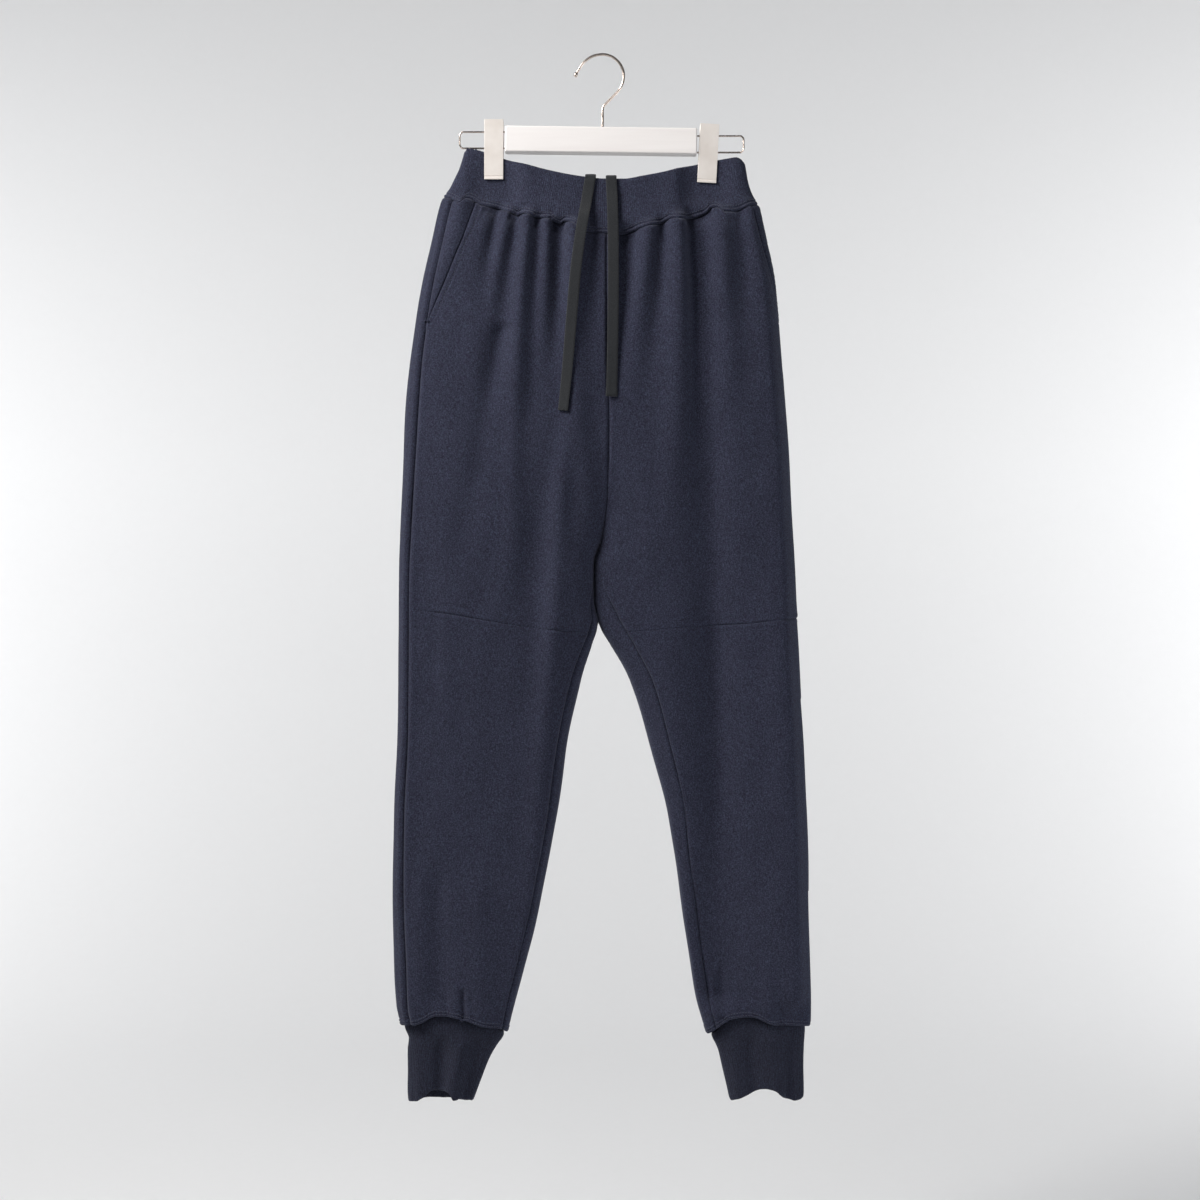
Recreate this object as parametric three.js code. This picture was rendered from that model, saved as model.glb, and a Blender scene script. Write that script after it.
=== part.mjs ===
// Jogger sweatpants hung by two clips from a trouser hanger.
// Millimetres, +Z up, front towards -Y, the wearer's right leg at -X.
// The origin is the inside top of the hanger's hook, where a rail carries it.
// "drop" is the distance below the origin, so z = -drop.
import * as THREE from 'three';

// ------------------------------------------------------------------ sizes
const CLOTH = 2.0;            // fleece wall
const BAND = 3.2;             // doubled rib and elastic of the waistband
const CUFF = 2.4;             // doubled rib of the cuffs
const GAP = 0.22;             // half of the gap kept at each seam
const POCKET_STEP = 0.7;      // the pocket side piece lies this far under the front
const TAPE_WIDE = 11.0;       // drawcord tape
const TAPE_THICK = 1.5;
const TAPE_CLEAR = 0.5;       // tape's back face above the cloth
const TAPE_TUCK = 16;         // length of tape inside the band
const BAR_LONG = 202.5, BAR_HIGH = 27.6, BAR_DEEP = 17, BAR_TILT = 0.75;   // degrees
const BAR_DROP = 76.2;        // top of the bar at its middle
const HOOK_WIRE = 1.45;       // radius
const LOOP_WIRE = 0.95;       // radius
const CLIP_WIDE = 20, CLIP_PLATE = 1.2, CLIP_FACE = 5.2;   // inside face of a plate from the middle

// outline of both legs: the silhouette's outer edge and the inner edge, which
// is the centre seam down to the crotch and the inside of the leg below it
const OUTLINE = [
  { drop: 92, outerR: -143.5, inner: 5.3, split: 0.2, outerL: 141.5 },
  { drop: 104, outerR: -146.4, inner: 5.3, split: 0.2, outerL: 144.6 },
  { drop: 120, outerR: -149.0, inner: 5.3, split: 0.2, outerL: 147.5 },
  { drop: 137, outerR: -154.6, inner: 5.3, split: 0.2, outerL: 151.5 },
  { drop: 148, outerR: -163.5, inner: 5.3, split: 0.2, outerL: 157.0 },
  { drop: 156, outerR: -169.5, inner: 5.3, split: 0.2, outerL: 162.0 },
  { drop: 168, outerR: -173.4, inner: 5.3, split: 0.2, outerL: 166.6 },
  { drop: 194, outerR: -179.6, inner: 5.3, split: 0.2, outerL: 173.0 },
  { drop: 236, outerR: -188.8, inner: 5.3, split: 0.2, outerL: 181.8 },
  { drop: 279, outerR: -196.4, inner: 5.4, split: 0.2, outerL: 186.6 },
  { drop: 331, outerR: -203.4, inner: 6.4, split: 0.2, outerL: 190.4 },
  { drop: 395, outerR: -208.0, inner: 7.4, split: 0.2, outerL: 195.4 },
  { drop: 458, outerR: -210.7, inner: 5.8, split: 0.25, outerL: 199.1 },
  { drop: 511, outerR: -212.3, inner: -1.1, split: 0.3, outerL: 201.7 },
  { drop: 537, outerR: -213.3, inner: -8.6, split: 0.4, outerL: 203.3 },
  { drop: 574, outerR: -214.2, inner: -9.0, split: 0.7, outerL: 205.2 },
  { drop: 598, outerR: -214.4, inner: -4.4, split: 1.1, outerL: 206.8 },
  { drop: 622, outerR: -214.5, inner: -0.8, split: 10.0, outerL: 208.0 },
  { drop: 659, outerR: -214.6, inner: 3.7, split: 25.9, outerL: 209.6 },
  { drop: 722, outerR: -215.6, inner: 6.4, split: 42.2, outerL: 212.3 },
  { drop: 807, outerR: -219.4, inner: 11.1, split: 59.7, outerL: 216.5 },
  { drop: 891, outerR: -220.7, inner: 9.5, split: 73.9, outerL: 218.3 },
  { drop: 965, outerR: -219.1, inner: 5.8, split: 88.2, outerL: 219.7 },
  { drop: 1000, outerR: -216.6, inner: 4.4, split: 96.4, outerL: 220.3 },
  { drop: 1016, outerR: -213.0, inner: 4.6, split: 100.6, outerL: 219.6 },
  { drop: 1030, outerR: -207.6, inner: 5.2, split: 104.6, outerL: 216.6 },
];

// how far the front and the back stand off the middle plane, how open the
// inner edge is (1 = one flat front across both legs, 0 = closed leg), and how
// far each leg's own middle plane is moved back
const DEPTH = [
  { drop: 92, front: 12.5, back: 12.5, open: 1.0, shift: 0 },
  { drop: 112, front: 13.5, back: 13.5, open: 1.0, shift: 0 },
  { drop: 132, front: 14.5, back: 14.5, open: 1.0, shift: 0 },
  { drop: 150, front: 16.0, back: 15.5, open: 1.0, shift: 0 },
  { drop: 166, front: 19.0, back: 18.0, open: 1.0, shift: 0 },
  { drop: 190, front: 23.0, back: 22.0, open: 1.0, shift: 0 },
  { drop: 225, front: 27.5, back: 26.5, open: 1.0, shift: 0 },
  { drop: 270, front: 31.0, back: 30.5, open: 0.99, shift: 0 },
  { drop: 330, front: 33.5, back: 33.5, open: 0.96, shift: 0 },
  { drop: 400, front: 34.5, back: 35.5, open: 0.88, shift: 0 },
  { drop: 450, front: 34.5, back: 36.0, open: 0.74, shift: 0 },
  { drop: 490, front: 34.0, back: 35.5, open: 0.50, shift: 0.6 },
  { drop: 515, front: 33.0, back: 34.5, open: 0.24, shift: 1.4 },
  { drop: 537, front: 32.0, back: 33.5, open: 0.0, shift: 2.2 },
  { drop: 600, front: 30.5, back: 31.5, open: 0.0, shift: 2.6 },
  { drop: 660, front: 29.0, back: 29.5, open: 0.0, shift: 1.2 },
  { drop: 760, front: 27.0, back: 27.5, open: 0.0, shift: 0 },
  { drop: 880, front: 25.0, back: 25.5, open: 0.0, shift: 0 },
  { drop: 960, front: 24.0, back: 24.0, open: 0.0, shift: 0 },
  { drop: 1005, front: 22.5, back: 22.5, open: 0.0, shift: 0 },
  { drop: 1030, front: 18.5, back: 18.5, open: 0.0, shift: 0 },
];

// seams along the leg, in from the outline on the front (minus is round the back)
const SEAMS = [
  { drop: 92, sideR: 12.0, sideL: -6, inR: 0, inL: 0 },
  { drop: 284, sideR: 12.7, sideL: -6, inR: 0, inL: 0 },
  { drop: 395, sideR: 13.5, sideL: -6, inR: 0, inL: 0 },
  { drop: 528, sideR: 11.0, sideL: -6, inR: 0, inL: 0 },
  { drop: 540, sideR: 11.0, sideL: -6, inR: 0, inL: 2 },
  { drop: 560, sideR: 11.0, sideL: -6, inR: 1.5, inL: 12 },
  { drop: 575, sideR: 11.0, sideL: -6, inR: 3, inL: 18 },
  { drop: 592, sideR: 11.0, sideL: -6, inR: 5, inL: 23 },
  { drop: 610, sideR: 11.0, sideL: -6, inR: 7, inL: 25 },
  { drop: 650, sideR: 11.5, sideL: -6, inR: 10, inL: 23.5 },
  { drop: 712, sideR: 11.0, sideL: -6, inR: 9.8, inL: 22 },
  { drop: 760, sideR: 10.5, sideL: -6, inR: 9.5, inL: 20.5 },
  { drop: 850, sideR: 11.0, sideL: -6, inR: 8.5, inL: 15 },
  { drop: 960, sideR: 12.5, sideL: -6, inR: 8.5, inL: 14 },
  { drop: 1030, sideR: 10.5, sideL: -6, inR: 6.5, inL: 12 },
];

// top edge of the waistband and the waist seam below it, left to right
const BAND_TOP = [
  { x: -147, drop: 104.0 }, { x: -136, drop: 99.2 }, { x: -124, drop: 104.0 },
  { x: -102, drop: 111.2 }, { x: -67, drop: 119.8 }, { x: -46, drop: 124.8 },
  { x: -20, drop: 129.6 }, { x: 1, drop: 131.6 }, { x: 23, drop: 131.8 },
  { x: 44, drop: 128.4 }, { x: 66, drop: 124.0 }, { x: 87, drop: 118.6 },
  { x: 111, drop: 113.0 }, { x: 130, drop: 110.4 }, { x: 146, drop: 110.4 },
];
const WAIST_SEAM = [
  { x: -167, front: 148.0, back: 148.0 }, { x: -150, front: 153.4, back: 152.0 },
  { x: -142, front: 150.0, back: 153.5 }, { x: -130, front: 156.0, back: 155.5 },
  { x: -120, front: 158.0, back: 158.0 }, { x: -99, front: 164.4, back: 163.5 },
  { x: -86, front: 167.8, back: 167.0 }, { x: -69, front: 171.2, back: 171.0 },
  { x: -54, front: 175.0, back: 175.0 }, { x: -44, front: 178.6, back: 177.5 },
  { x: -29, front: 179.4, back: 180.5 }, { x: -18, front: 185.6, back: 183.0 },
  { x: 1, front: 188.6, back: 186.0 }, { x: 19, front: 190.4, back: 187.0 },
  { x: 33, front: 187.6, back: 185.0 }, { x: 44, front: 183.8, back: 182.5 },
  { x: 63, front: 178.2, back: 177.0 }, { x: 72, front: 173.4, back: 174.0 },
  { x: 85, front: 172.6, back: 171.0 }, { x: 96, front: 170.4, back: 168.0 },
  { x: 108, front: 166.0, back: 165.0 }, { x: 118, front: 160.0, back: 163.0 },
  { x: 130, front: 162.4, back: 161.5 }, { x: 143, front: 162.4, back: 159.5 },
  { x: 160, front: 155.0, back: 154.0 },
];

// knee seam of the fronts, measured inwards from each leg's outer edge
const KNEE = [
  { in: 0, right: 583.0, left: 593.0 }, { in: 24, right: 585.5, left: 596.0 },
  { in: 60, right: 590.0, left: 599.5 }, { in: 100, right: 597.0, left: 602.0 },
  { in: 150, right: 604.5, left: 605.5 }, { in: 215, right: 610.0, left: 612.0 },
];

// slanted pocket opening: distance in from the leg's outer edge at each drop
const POCKET = [
  { drop: 140, right: 37.5, left: 9.0 }, { drop: 158, right: 38.0, left: 8.0 },
  { drop: 222, right: 29.5, left: 4.5 }, { drop: 284, right: 14.2, left: -3.5 },
];
const POCKET_END = 284;

// seam between leg and cuff, and the cuffs' hems, across each cuff from its
// outer edge (0) to its inner edge (1)
const CUFF_SEAM = [
  { across: 0, rightFront: 1019, rightBack: 1019, leftFront: 1021, leftBack: 1021 },
  { across: 0.16, rightFront: 1016, rightBack: 1017, leftFront: 1021, leftBack: 1019 },
  { across: 0.28, rightFront: 1012, rightBack: 1015, leftFront: 1020, leftBack: 1016 },
  { across: 0.42, rightFront: 1012, rightBack: 1014, leftFront: 1017, leftBack: 1014 },
  { across: 0.55, rightFront: 1014, rightBack: 1015, leftFront: 1013, leftBack: 1013 },
  { across: 0.72, rightFront: 1018, rightBack: 1018, leftFront: 1013, leftBack: 1014 },
  { across: 0.86, rightFront: 1023, rightBack: 1022, leftFront: 1017, leftBack: 1018 },
  { across: 1, rightFront: 1029, rightBack: 1029, leftFront: 1027, leftBack: 1027 },
];
const HEM = [
  { across: 0, rightFront: 1104, rightBack: 1104, leftFront: 1102, leftBack: 1102 },
  { across: 0.12, rightFront: 1099, rightBack: 1106, leftFront: 1099, leftBack: 1106 },
  { across: 0.27, rightFront: 1092, rightBack: 1107, leftFront: 1094, leftBack: 1107 },
  { across: 0.45, rightFront: 1087, rightBack: 1106, leftFront: 1087, leftBack: 1104 },
  { across: 0.62, rightFront: 1091, rightBack: 1105, leftFront: 1086, leftBack: 1103 },
  { across: 0.80, rightFront: 1098, rightBack: 1105, leftFront: 1091, leftBack: 1103 },
  { across: 1, rightFront: 1104, rightBack: 1104, leftFront: 1101, leftBack: 1101 },
];
const CUFF_FORM = [
  { drop: 1008, outerR: -205.0, innerR: -101.5, innerL: 113.4, outerL: 213.9, front: 17.0, back: 17.0 },
  { drop: 1026, outerR: -203.8, innerR: -104.4, innerL: 115.2, outerL: 213.4, front: 16.0, back: 16.0 },
  { drop: 1039, outerR: -202.9, innerR: -110.0, innerL: 118.3, outerL: 212.8, front: 15.5, back: 15.5 },
  { drop: 1060, outerR: -204.6, innerR: -120.2, innerL: 125.5, outerL: 211.9, front: 15.5, back: 15.5 },
  { drop: 1082, outerR: -204.9, innerR: -129.0, innerL: 130.4, outerL: 211.4, front: 16.0, back: 15.5 },
  { drop: 1108, outerR: -203.8, innerR: -137.5, innerL: 135.2, outerL: 211.9, front: 16.5, back: 16.0 },
];

// folds: kind is + for a ridge and - for a trough, with three points down its
// path, its half width and its height at the top, and how much is left at the end
const FOLDS = [
  { face: 'front', kind: +1, x0: -96, d0: 160, x1: -117.5, d1: 250, x2: -129, d2: 330, wide: 8.0, high: 2.2, end: 0 },
  { face: 'front', kind: -1, x0: -107, d0: 158, x1: -119.6, d1: 216, x2: -134, d2: 300, wide: 8.0, high: 2.4, end: 0 },
  { face: 'front', kind: -1, x0: -87, d0: 165, x1: -100.9, d1: 252, x2: -120, d2: 400, wide: 9.0, high: 5.0, end: 0 },
  { face: 'front', kind: +1, x0: -77, d0: 168, x1: -87.3, d1: 309, x2: -93.6, d2: 580, wide: 8.5, high: 5.0, end: 0.4 },
  { face: 'front', kind: -1, x0: -67.6, d0: 171, x1: -73.8, d1: 294, x2: -74.9, d2: 410, wide: 7.5, high: 4.2, end: 0.3 },
  { face: 'front', kind: +1, x0: -55, d0: 174, x1: -59.3, d1: 252, x2: -64.5, d2: 350, wide: 7.5, high: 3.4, end: 0 },
  { face: 'front', kind: -1, x0: -43.7, d0: 177, x1: -45.8, d1: 257, x2: -56.2, d2: 375, wide: 8.0, high: 6.0, end: 0.1 },
  { face: 'front', kind: +1, x0: -29, d0: 178, x1: -30.2, d1: 283, x2: -18.7, d2: 450, wide: 10.0, high: 5.0, end: 0.9 },
  { face: 'front', kind: +1, x0: -18.7, d0: 450, x1: -37.5, d1: 575, x2: -66.6, d2: 840, wide: 17.0, high: 4.5, end: 0.1 },
  { face: 'front', kind: -1, x0: -63.4, d0: 420, x1: -70.7, d1: 543, x2: -87.3, d2: 800, wide: 17.0, high: 4.0, end: 0 },
  { face: 'front', kind: -1, x0: 29, d0: 184, x1: 24.9, d1: 263, x2: 16.6, d2: 370, wide: 10.0, high: 4.5, end: 0 },
  { face: 'front', kind: +1, x0: 50.9, d0: 180, x1: 40.5, d1: 252, x2: 26.0, d2: 400, wide: 8.5, high: 4.0, end: 0 },
  { face: 'front', kind: -1, x0: 64.4, d0: 175, x1: 58.2, d1: 268, x2: 39.5, d2: 420, wide: 8.0, high: 3.6, end: 0 },
  { face: 'front', kind: +1, x0: 81, d0: 170, x1: 80.0, d1: 304, x2: 62.3, d2: 560, wide: 11.0, high: 5.5, end: 0.2 },
  { face: 'front', kind: -1, x0: 103, d0: 166, x1: 108.1, d1: 356, x2: 120.5, d2: 640, wide: 13.0, high: 6.5, end: 0.6 },
  { face: 'front', kind: -1, x0: 120.5, d0: 640, x1: 124.0, d1: 740, x2: 128.0, d2: 900, wide: 16.0, high: 3.9, end: 0 },
  { face: 'front', kind: +1, x0: 124.7, d0: 160, x1: 128.9, d1: 263, x2: 141.3, d2: 440, wide: 9.0, high: 3.8, end: 0 },
  { face: 'front', kind: -1, x0: 144.5, d0: 160, x1: 148.6, d1: 252, x2: 155.9, d2: 380, wide: 8.0, high: 3.0, end: 0 },
  { face: 'front', kind: +1, x0: 60.3, d0: 574, x1: 74.8, d1: 699, x2: 98.0, d2: 920, wide: 17.0, high: 3.5, end: 0.3 },
  { face: 'front', kind: +1, x0: 176.7, d0: 520, x1: 185.0, d1: 741, x2: 190.2, d2: 980, wide: 15.0, high: 2.5, end: 0.5 },
  { face: 'front', kind: -1, x0: -168.4, d0: 840, x1: -170.5, d1: 949, x2: -168.4, d2: 1024, wide: 9.0, high: 3.2, end: 1 },
  { face: 'front', kind: +1, x0: -190.3, d0: 840, x1: -192.3, d1: 949, x2: -195.5, d2: 1024, wide: 8.0, high: 2.0, end: 1 },
  { face: 'front', kind: +1, x0: -127.9, d0: 840, x1: -128.9, d1: 949, x2: -132.0, d2: 1024, wide: 12.0, high: 2.8, end: 1 },
  { face: 'front', kind: +1, x0: -146, d0: 156, x1: -161, d1: 211, x2: -178, d2: 285, wide: 9.0, high: 2.6, end: 0 },
  { face: 'back', kind: -1, x0: -118, d0: 160, x1: -128, d1: 255, x2: -140, d2: 380, wide: 9.0, high: 4.5, end: 0 },
  { face: 'back', kind: +1, x0: -98, d0: 164, x1: -105, d1: 290, x2: -112, d2: 520, wide: 10.0, high: 4.5, end: 0.2 },
  { face: 'back', kind: -1, x0: -76, d0: 170, x1: -80, d1: 262, x2: -88, d2: 400, wide: 9.0, high: 5.0, end: 0 },
  { face: 'back', kind: +1, x0: -54, d0: 175, x1: -55, d1: 300, x2: -48, d2: 470, wide: 9.5, high: 4.8, end: 0.3 },
  { face: 'back', kind: -1, x0: -32, d0: 180, x1: -34, d1: 250, x2: -40, d2: 350, wide: 8.5, high: 4.6, end: 0 },
  { face: 'back', kind: +1, x0: -12, d0: 184, x1: -14, d1: 262, x2: -20, d2: 400, wide: 8.0, high: 3.4, end: 0 },
  { face: 'back', kind: +1, x0: 26, d0: 186, x1: 26, d1: 270, x2: 30, d2: 430, wide: 8.5, high: 4.2, end: 0 },
  { face: 'back', kind: -1, x0: 44, d0: 182, x1: 45, d1: 260, x2: 52, d2: 380, wide: 8.5, high: 5.0, end: 0 },
  { face: 'back', kind: +1, x0: 66, d0: 176, x1: 66, d1: 310, x2: 60, d2: 540, wide: 10.0, high: 5.0, end: 0.3 },
  { face: 'back', kind: -1, x0: 88, d0: 170, x1: 92, d1: 280, x2: 102, d2: 500, wide: 10.0, high: 5.0, end: 0.1 },
  { face: 'back', kind: +1, x0: 112, d0: 164, x1: 118, d1: 250, x2: 132, d2: 380, wide: 9.0, high: 3.6, end: 0 },
  { face: 'back', kind: +1, x0: -66, d0: 540, x1: -84, d1: 680, x2: -104, d2: 860, wide: 20.0, high: 3.5, end: 0.2 },
  { face: 'back', kind: -1, x0: 104, d0: 560, x1: 118, d1: 700, x2: 134, d2: 900, wide: 20.0, high: 4.0, end: 0.2 },
];

// hook: centreline points from the bar up to the tip
const HOOK_PATH = [
  { x: 0.6, drop: 75.6 }, { x: 0.6, drop: 66 }, { x: 0.6, drop: 57.5 }, { x: 1.8, drop: 53.2 },
  { x: 6.0, drop: 48.6 }, { x: 16.2, drop: 38.1 }, { x: 20.6, drop: 31.8 }, { x: 22.7, drop: 24.4 },
  { x: 22.4, drop: 16.2 }, { x: 18.9, drop: 8.2 }, { x: 12.2, drop: 1.8 }, { x: 4.6, drop: -1.2 },
  { x: -2.6, drop: -1.4 }, { x: -10.4, drop: 0.6 }, { x: -17.4, drop: 5.2 }, { x: -22.6, drop: 11.2 },
  { x: -26.6, drop: 18.0 },
];
// the wire loops beside the bar and the clips that slide on them
const SIDES = [
  { side: 'right', sign: -1, end: -150.2, upper: 80.4, lower: 97.6, gripX: -114.0, clipX: -114.0, clipTop: 68.0, clipEnd: 131.6, tilt: 0 },
  { side: 'left', sign: 1, end: 149.6, upper: 84.6, lower: 102.0, gripX: 110.4, clipX: 112.0, clipTop: 72.8, clipEnd: 135.2, tilt: 3.2 },
];

// drawcord tapes: centreline on the front, down from the band's top edge
const TAPES = [
  { name: 'drawcord_right', path: [{ x: -12.0, drop: 129.4 }, { x: -15.5, drop: 152 }, { x: -22.0, drop: 190 }, { x: -27.4, drop: 232 }, { x: -32.0, drop: 285 }, { x: -36.2, drop: 335 }, { x: -40.6, drop: 377.5 }] },
  { name: 'drawcord_left', path: [{ x: 9.6, drop: 131.2 }, { x: 10.6, drop: 152 }, { x: 11.6, drop: 190 }, { x: 11.8, drop: 232 }, { x: 11.4, drop: 285 }, { x: 10.6, drop: 335 }, { x: 9.9, drop: 362.5 }] },
];

// colours
const NAVY = { color: 0x30313f, roughness: 0.95, metalness: 0 };
const RIB = { color: 0x2e2f3b, roughness: 0.95, metalness: 0 };
const TAPE = { color: 0x31343a, roughness: 0.9, metalness: 0 };
const PAINT = { color: 0xece8e7, roughness: 0.45, metalness: 0 };
const STEEL = { color: 0xb8aea6, roughness: 0.3, metalness: 1 };

// rows of the surface, as nominal drops; the rows near a seam bend with it
const WAIST_ROW = 165, KNEE_ROW = 598, ANKLE_ROW = 1018;
const UPPER_ROWS = [WAIST_ROW, 172, 184, 202, 228, 257, 284, 318, 356, 400, 446, 488, 515, 537, 566, KNEE_ROW];
const LOWER_ROWS = [KNEE_ROW, 626, 662, 722, 790, 860, 925, 972, 1000, 1010, ANKLE_ROW];
const FRONT_COLUMNS = 18, SHIN_COLUMNS = 12, BACK_COLUMNS = 15, POCKET_COLUMNS = 3, CUFF_COLUMNS = 12;

// ------------------------------------------------------------------ tables
const smooth = (a, b, t) => { const s = Math.min(1, Math.max(0, (t - a) / (b - a))); return s * s * (3 - 2 * s); };
const mix = (a, b, t) => a + (b - a) * t;

// smooth reading of a table's column, without overshoot
function read(table, key, column, t) {
  const n = table.length;
  if (t <= table[0][key]) return table[0][column];
  if (t >= table[n - 1][key]) return table[n - 1][column];
  let i = 0;
  while (t > table[i + 1][key]) i++;
  const slope = (k) => (table[k + 1][column] - table[k][column]) / (table[k + 1][key] - table[k][key]);
  const tangent = (k) => {
    if (k === 0) return slope(0);
    if (k === n - 1) return slope(n - 2);
    const a = slope(k - 1), b = slope(k);
    return a * b <= 0 ? 0 : 2 * a * b / (a + b);
  };
  const h = table[i + 1][key] - table[i][key], u = (t - table[i][key]) / h;
  const p = table[i][column], q = table[i + 1][column], m = tangent(i) * h, k = tangent(i + 1) * h;
  return p * (1 + 2 * u) * (1 - u) ** 2 + m * u * (1 - u) ** 2 + q * u * u * (3 - 2 * u) + k * u * u * (u - 1);
}

// ------------------------------------------------------------------ the garment's surface
const outer = (leg, d) => read(OUTLINE, 'drop', leg < 0 ? 'outerR' : 'outerL', d);
const inner = (leg, d) => read(OUTLINE, 'drop', 'inner', d) + leg * read(OUTLINE, 'drop', 'split', d);

// a fold's height at a point of the front or back
function folds(face, x, d) {
  let sum = 0;
  for (const f of FOLDS) {
    const runsOn = f.d2 < 1005 && f.end > 0.5;      // runs out below its end, where another may take over
    if (f.face !== face || d > f.d2 + (runsOn ? 86 : 1) || d < f.d0 - 40) continue;
    const t = Math.max(0, Math.min(1, (d - f.d0) / (f.d2 - f.d0)));
    const m = (f.d1 - f.d0) / (f.d2 - f.d0);
    const c = f.x0 * (t - m) * (t - 1) / m + f.x1 * t * (t - 1) / (m * (m - 1)) + f.x2 * t * (t - m) / (1 - m);
    const wide = f.wide * (1 + 0.45 * t);
    const start = f.d0 > 300 ? smooth(0, 0.25, t) : smooth(f.d0 - 9, f.d0 + 5, d);
    let left = mix(1, f.end, smooth(0.1, 1, t));
    if (runsOn) left *= 1 - smooth(f.d2 - 15, f.d2 + 85, d);
    else if (f.d2 < 1005 && f.end > 0) left *= 1 - smooth(0.8, 1, t);
    else if (f.high > 3) left *= 1 - smooth(988, 1010, d);
    sum += f.kind * f.high * start * left * Math.exp(-(((x - c) / wide) ** 2));
  }
  return sum;
}

// the clips press the band's front and back together
function pinch(x, d) {
  let p = 0;
  for (const s of SIDES) p = Math.max(p, Math.exp(-(((x - s.gripX) / 27) ** 4)));
  return p * (1 - smooth(133, 190, d));
}

const behind = (turn) => turn < 0 || (turn > Math.PI && turn < 2 * Math.PI);

// point of the surface: turn runs from 0 at the outer edge over the front to
// pi at the inner edge, and on over the back to 2 pi
function point(leg, turn, d, lift = 0) {
  const xo = outer(leg, d), xi = inner(leg, d);
  const c = Math.cos(turn), x = mix(xo, xi, (1 - c) / 2);
  const back = behind(turn);
  const open = read(DEPTH, 'drop', 'open', d);
  const s = Math.abs(Math.sin(turn));
  const base = Math.pow(s, 0.72);
  const form = c > 0 ? base : open + (1 - open) * Math.pow(s, 0.72 + 1.3 * open);
  const deep = read(DEPTH, 'drop', back ? 'back' : 'front', d);
  const shift = leg < 0 ? -read(DEPTH, 'drop', 'shift', d) : read(DEPTH, 'drop', 'shift', d);
  const pressed = pinch(x, d);
  let y = deep * form;
  y = mix(y, Math.min(y, 4.6), pressed);
  const reach = Math.min(Math.abs(x - xo), d > 470 ? Math.abs(x - xi) : 60);
  y += folds(back ? 'back' : 'front', x, d) * smooth(1, 24, reach) * (1 - pressed) + lift;
  return new THREE.Vector3(x, (back ? y : -y) + shift, -d);
}

// outward direction at a point of the surface
function outward(where, leg, u, d) {
  const e = 0.012, h = 0.8;
  const a = where(u + e, d).sub(where(u - e, d)), b = where(u, d + h).sub(where(u, d - h));
  return a.cross(b).normalize().multiplyScalar(leg);
}

// turn from the distance along the flat outline: 0 outer edge, 1 inner edge, 2 outer edge again
function turnOf(u) {
  if (u < 0) return -Math.acos(1 + 2 * u);
  if (u <= 1) return Math.acos(1 - 2 * u);
  if (u <= 2) return 2 * Math.PI - Math.acos(1 - 2 * (2 - u));
  return 2 * Math.PI + Math.acos(1 - 2 * (u - 2));
}
const sideSeam = (leg, d) => read(SEAMS, 'drop', leg < 0 ? 'sideR' : 'sideL', d) / Math.abs(outer(leg, d) - inner(leg, d));
const inSeam = (leg, d) => 1 - (d < 537 ? 0 : read(SEAMS, 'drop', leg < 0 ? 'inR' : 'inL', d) / Math.abs(outer(leg, d) - inner(leg, d)));
const pocketLine = (leg, d) => read(POCKET, 'drop', leg < 0 ? 'right' : 'left', d) / Math.abs(outer(leg, d) - inner(leg, d));

// real drop of a row at a place across the leg
function rowDrop(leg, x, nominal, back) {
  let d = nominal;
  const top = read(WAIST_SEAM, 'x', back ? 'back' : 'front', x);
  const sided = Math.abs(x - outer(leg, nominal));
  d += (top - WAIST_ROW) * (1 - smooth(WAIST_ROW - 5, 300, nominal)) * (nominal < 301 ? 1 : 0);
  d += (read(KNEE, 'in', leg < 0 ? 'right' : 'left', sided) - KNEE_ROW) * Math.max(0, 1 - Math.abs(nominal - KNEE_ROW) / 100) ** 1.5;
  if (nominal > 925) {
    const across = sided / Math.abs(outer(leg, nominal) - inner(leg, nominal));
    const seam = read(CUFF_SEAM, 'across', (leg < 0 ? 'right' : 'left') + (back ? 'Back' : 'Front'), across);
    d += (seam - ANKLE_ROW) * smooth(925, ANKLE_ROW, nominal);
  }
  return d;
}

// ------------------------------------------------------------------ solids
// closed wall between two grids of points; across may close on itself
function wall(outside, inside, ring) {
  const n = outside.length, m = outside[0].length, position = [], index = [];
  for (const grid of [outside, inside]) for (const line of grid) for (const p of line) position.push(p.x, p.y, p.z);
  const at = (face, i, j) => face * n * m + (i % n) * m + j;
  const quad = (a, b, c, d) => index.push(a, b, c, a, c, d);
  const last = ring ? n : n - 1;
  for (let i = 0; i < last; i++) {
    for (let j = 0; j < m - 1; j++) {
      quad(at(0, i, j), at(0, i, j + 1), at(0, i + 1, j + 1), at(0, i + 1, j));
      quad(at(1, i, j), at(1, i + 1, j), at(1, i + 1, j + 1), at(1, i, j + 1));
    }
    quad(at(0, i, 0), at(0, i + 1, 0), at(1, i + 1, 0), at(1, i, 0));
    quad(at(0, i, m - 1), at(1, i, m - 1), at(1, i + 1, m - 1), at(0, i + 1, m - 1));
  }
  if (!ring) for (let j = 0; j < m - 1; j++) {
    quad(at(0, 0, j), at(1, 0, j), at(1, 0, j + 1), at(0, 0, j + 1));
    quad(at(0, n - 1, j), at(0, n - 1, j + 1), at(1, n - 1, j + 1), at(1, n - 1, j));
  }
  let volume = 0;
  const v = (k) => new THREE.Vector3(position[3 * k], position[3 * k + 1], position[3 * k + 2]);
  for (let k = 0; k < index.length; k += 3) volume += v(index[k]).dot(v(index[k + 1]).cross(v(index[k + 2])));
  if (volume < 0) for (let k = 0; k < index.length; k += 3) [index[k + 1], index[k + 2]] = [index[k + 2], index[k + 1]];
  const geometry = new THREE.BufferGeometry();
  geometry.setAttribute('position', new THREE.Float32BufferAttribute(position, 3));
  geometry.setIndex(index);
  geometry.computeVertexNormals();
  return geometry;
}

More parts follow.
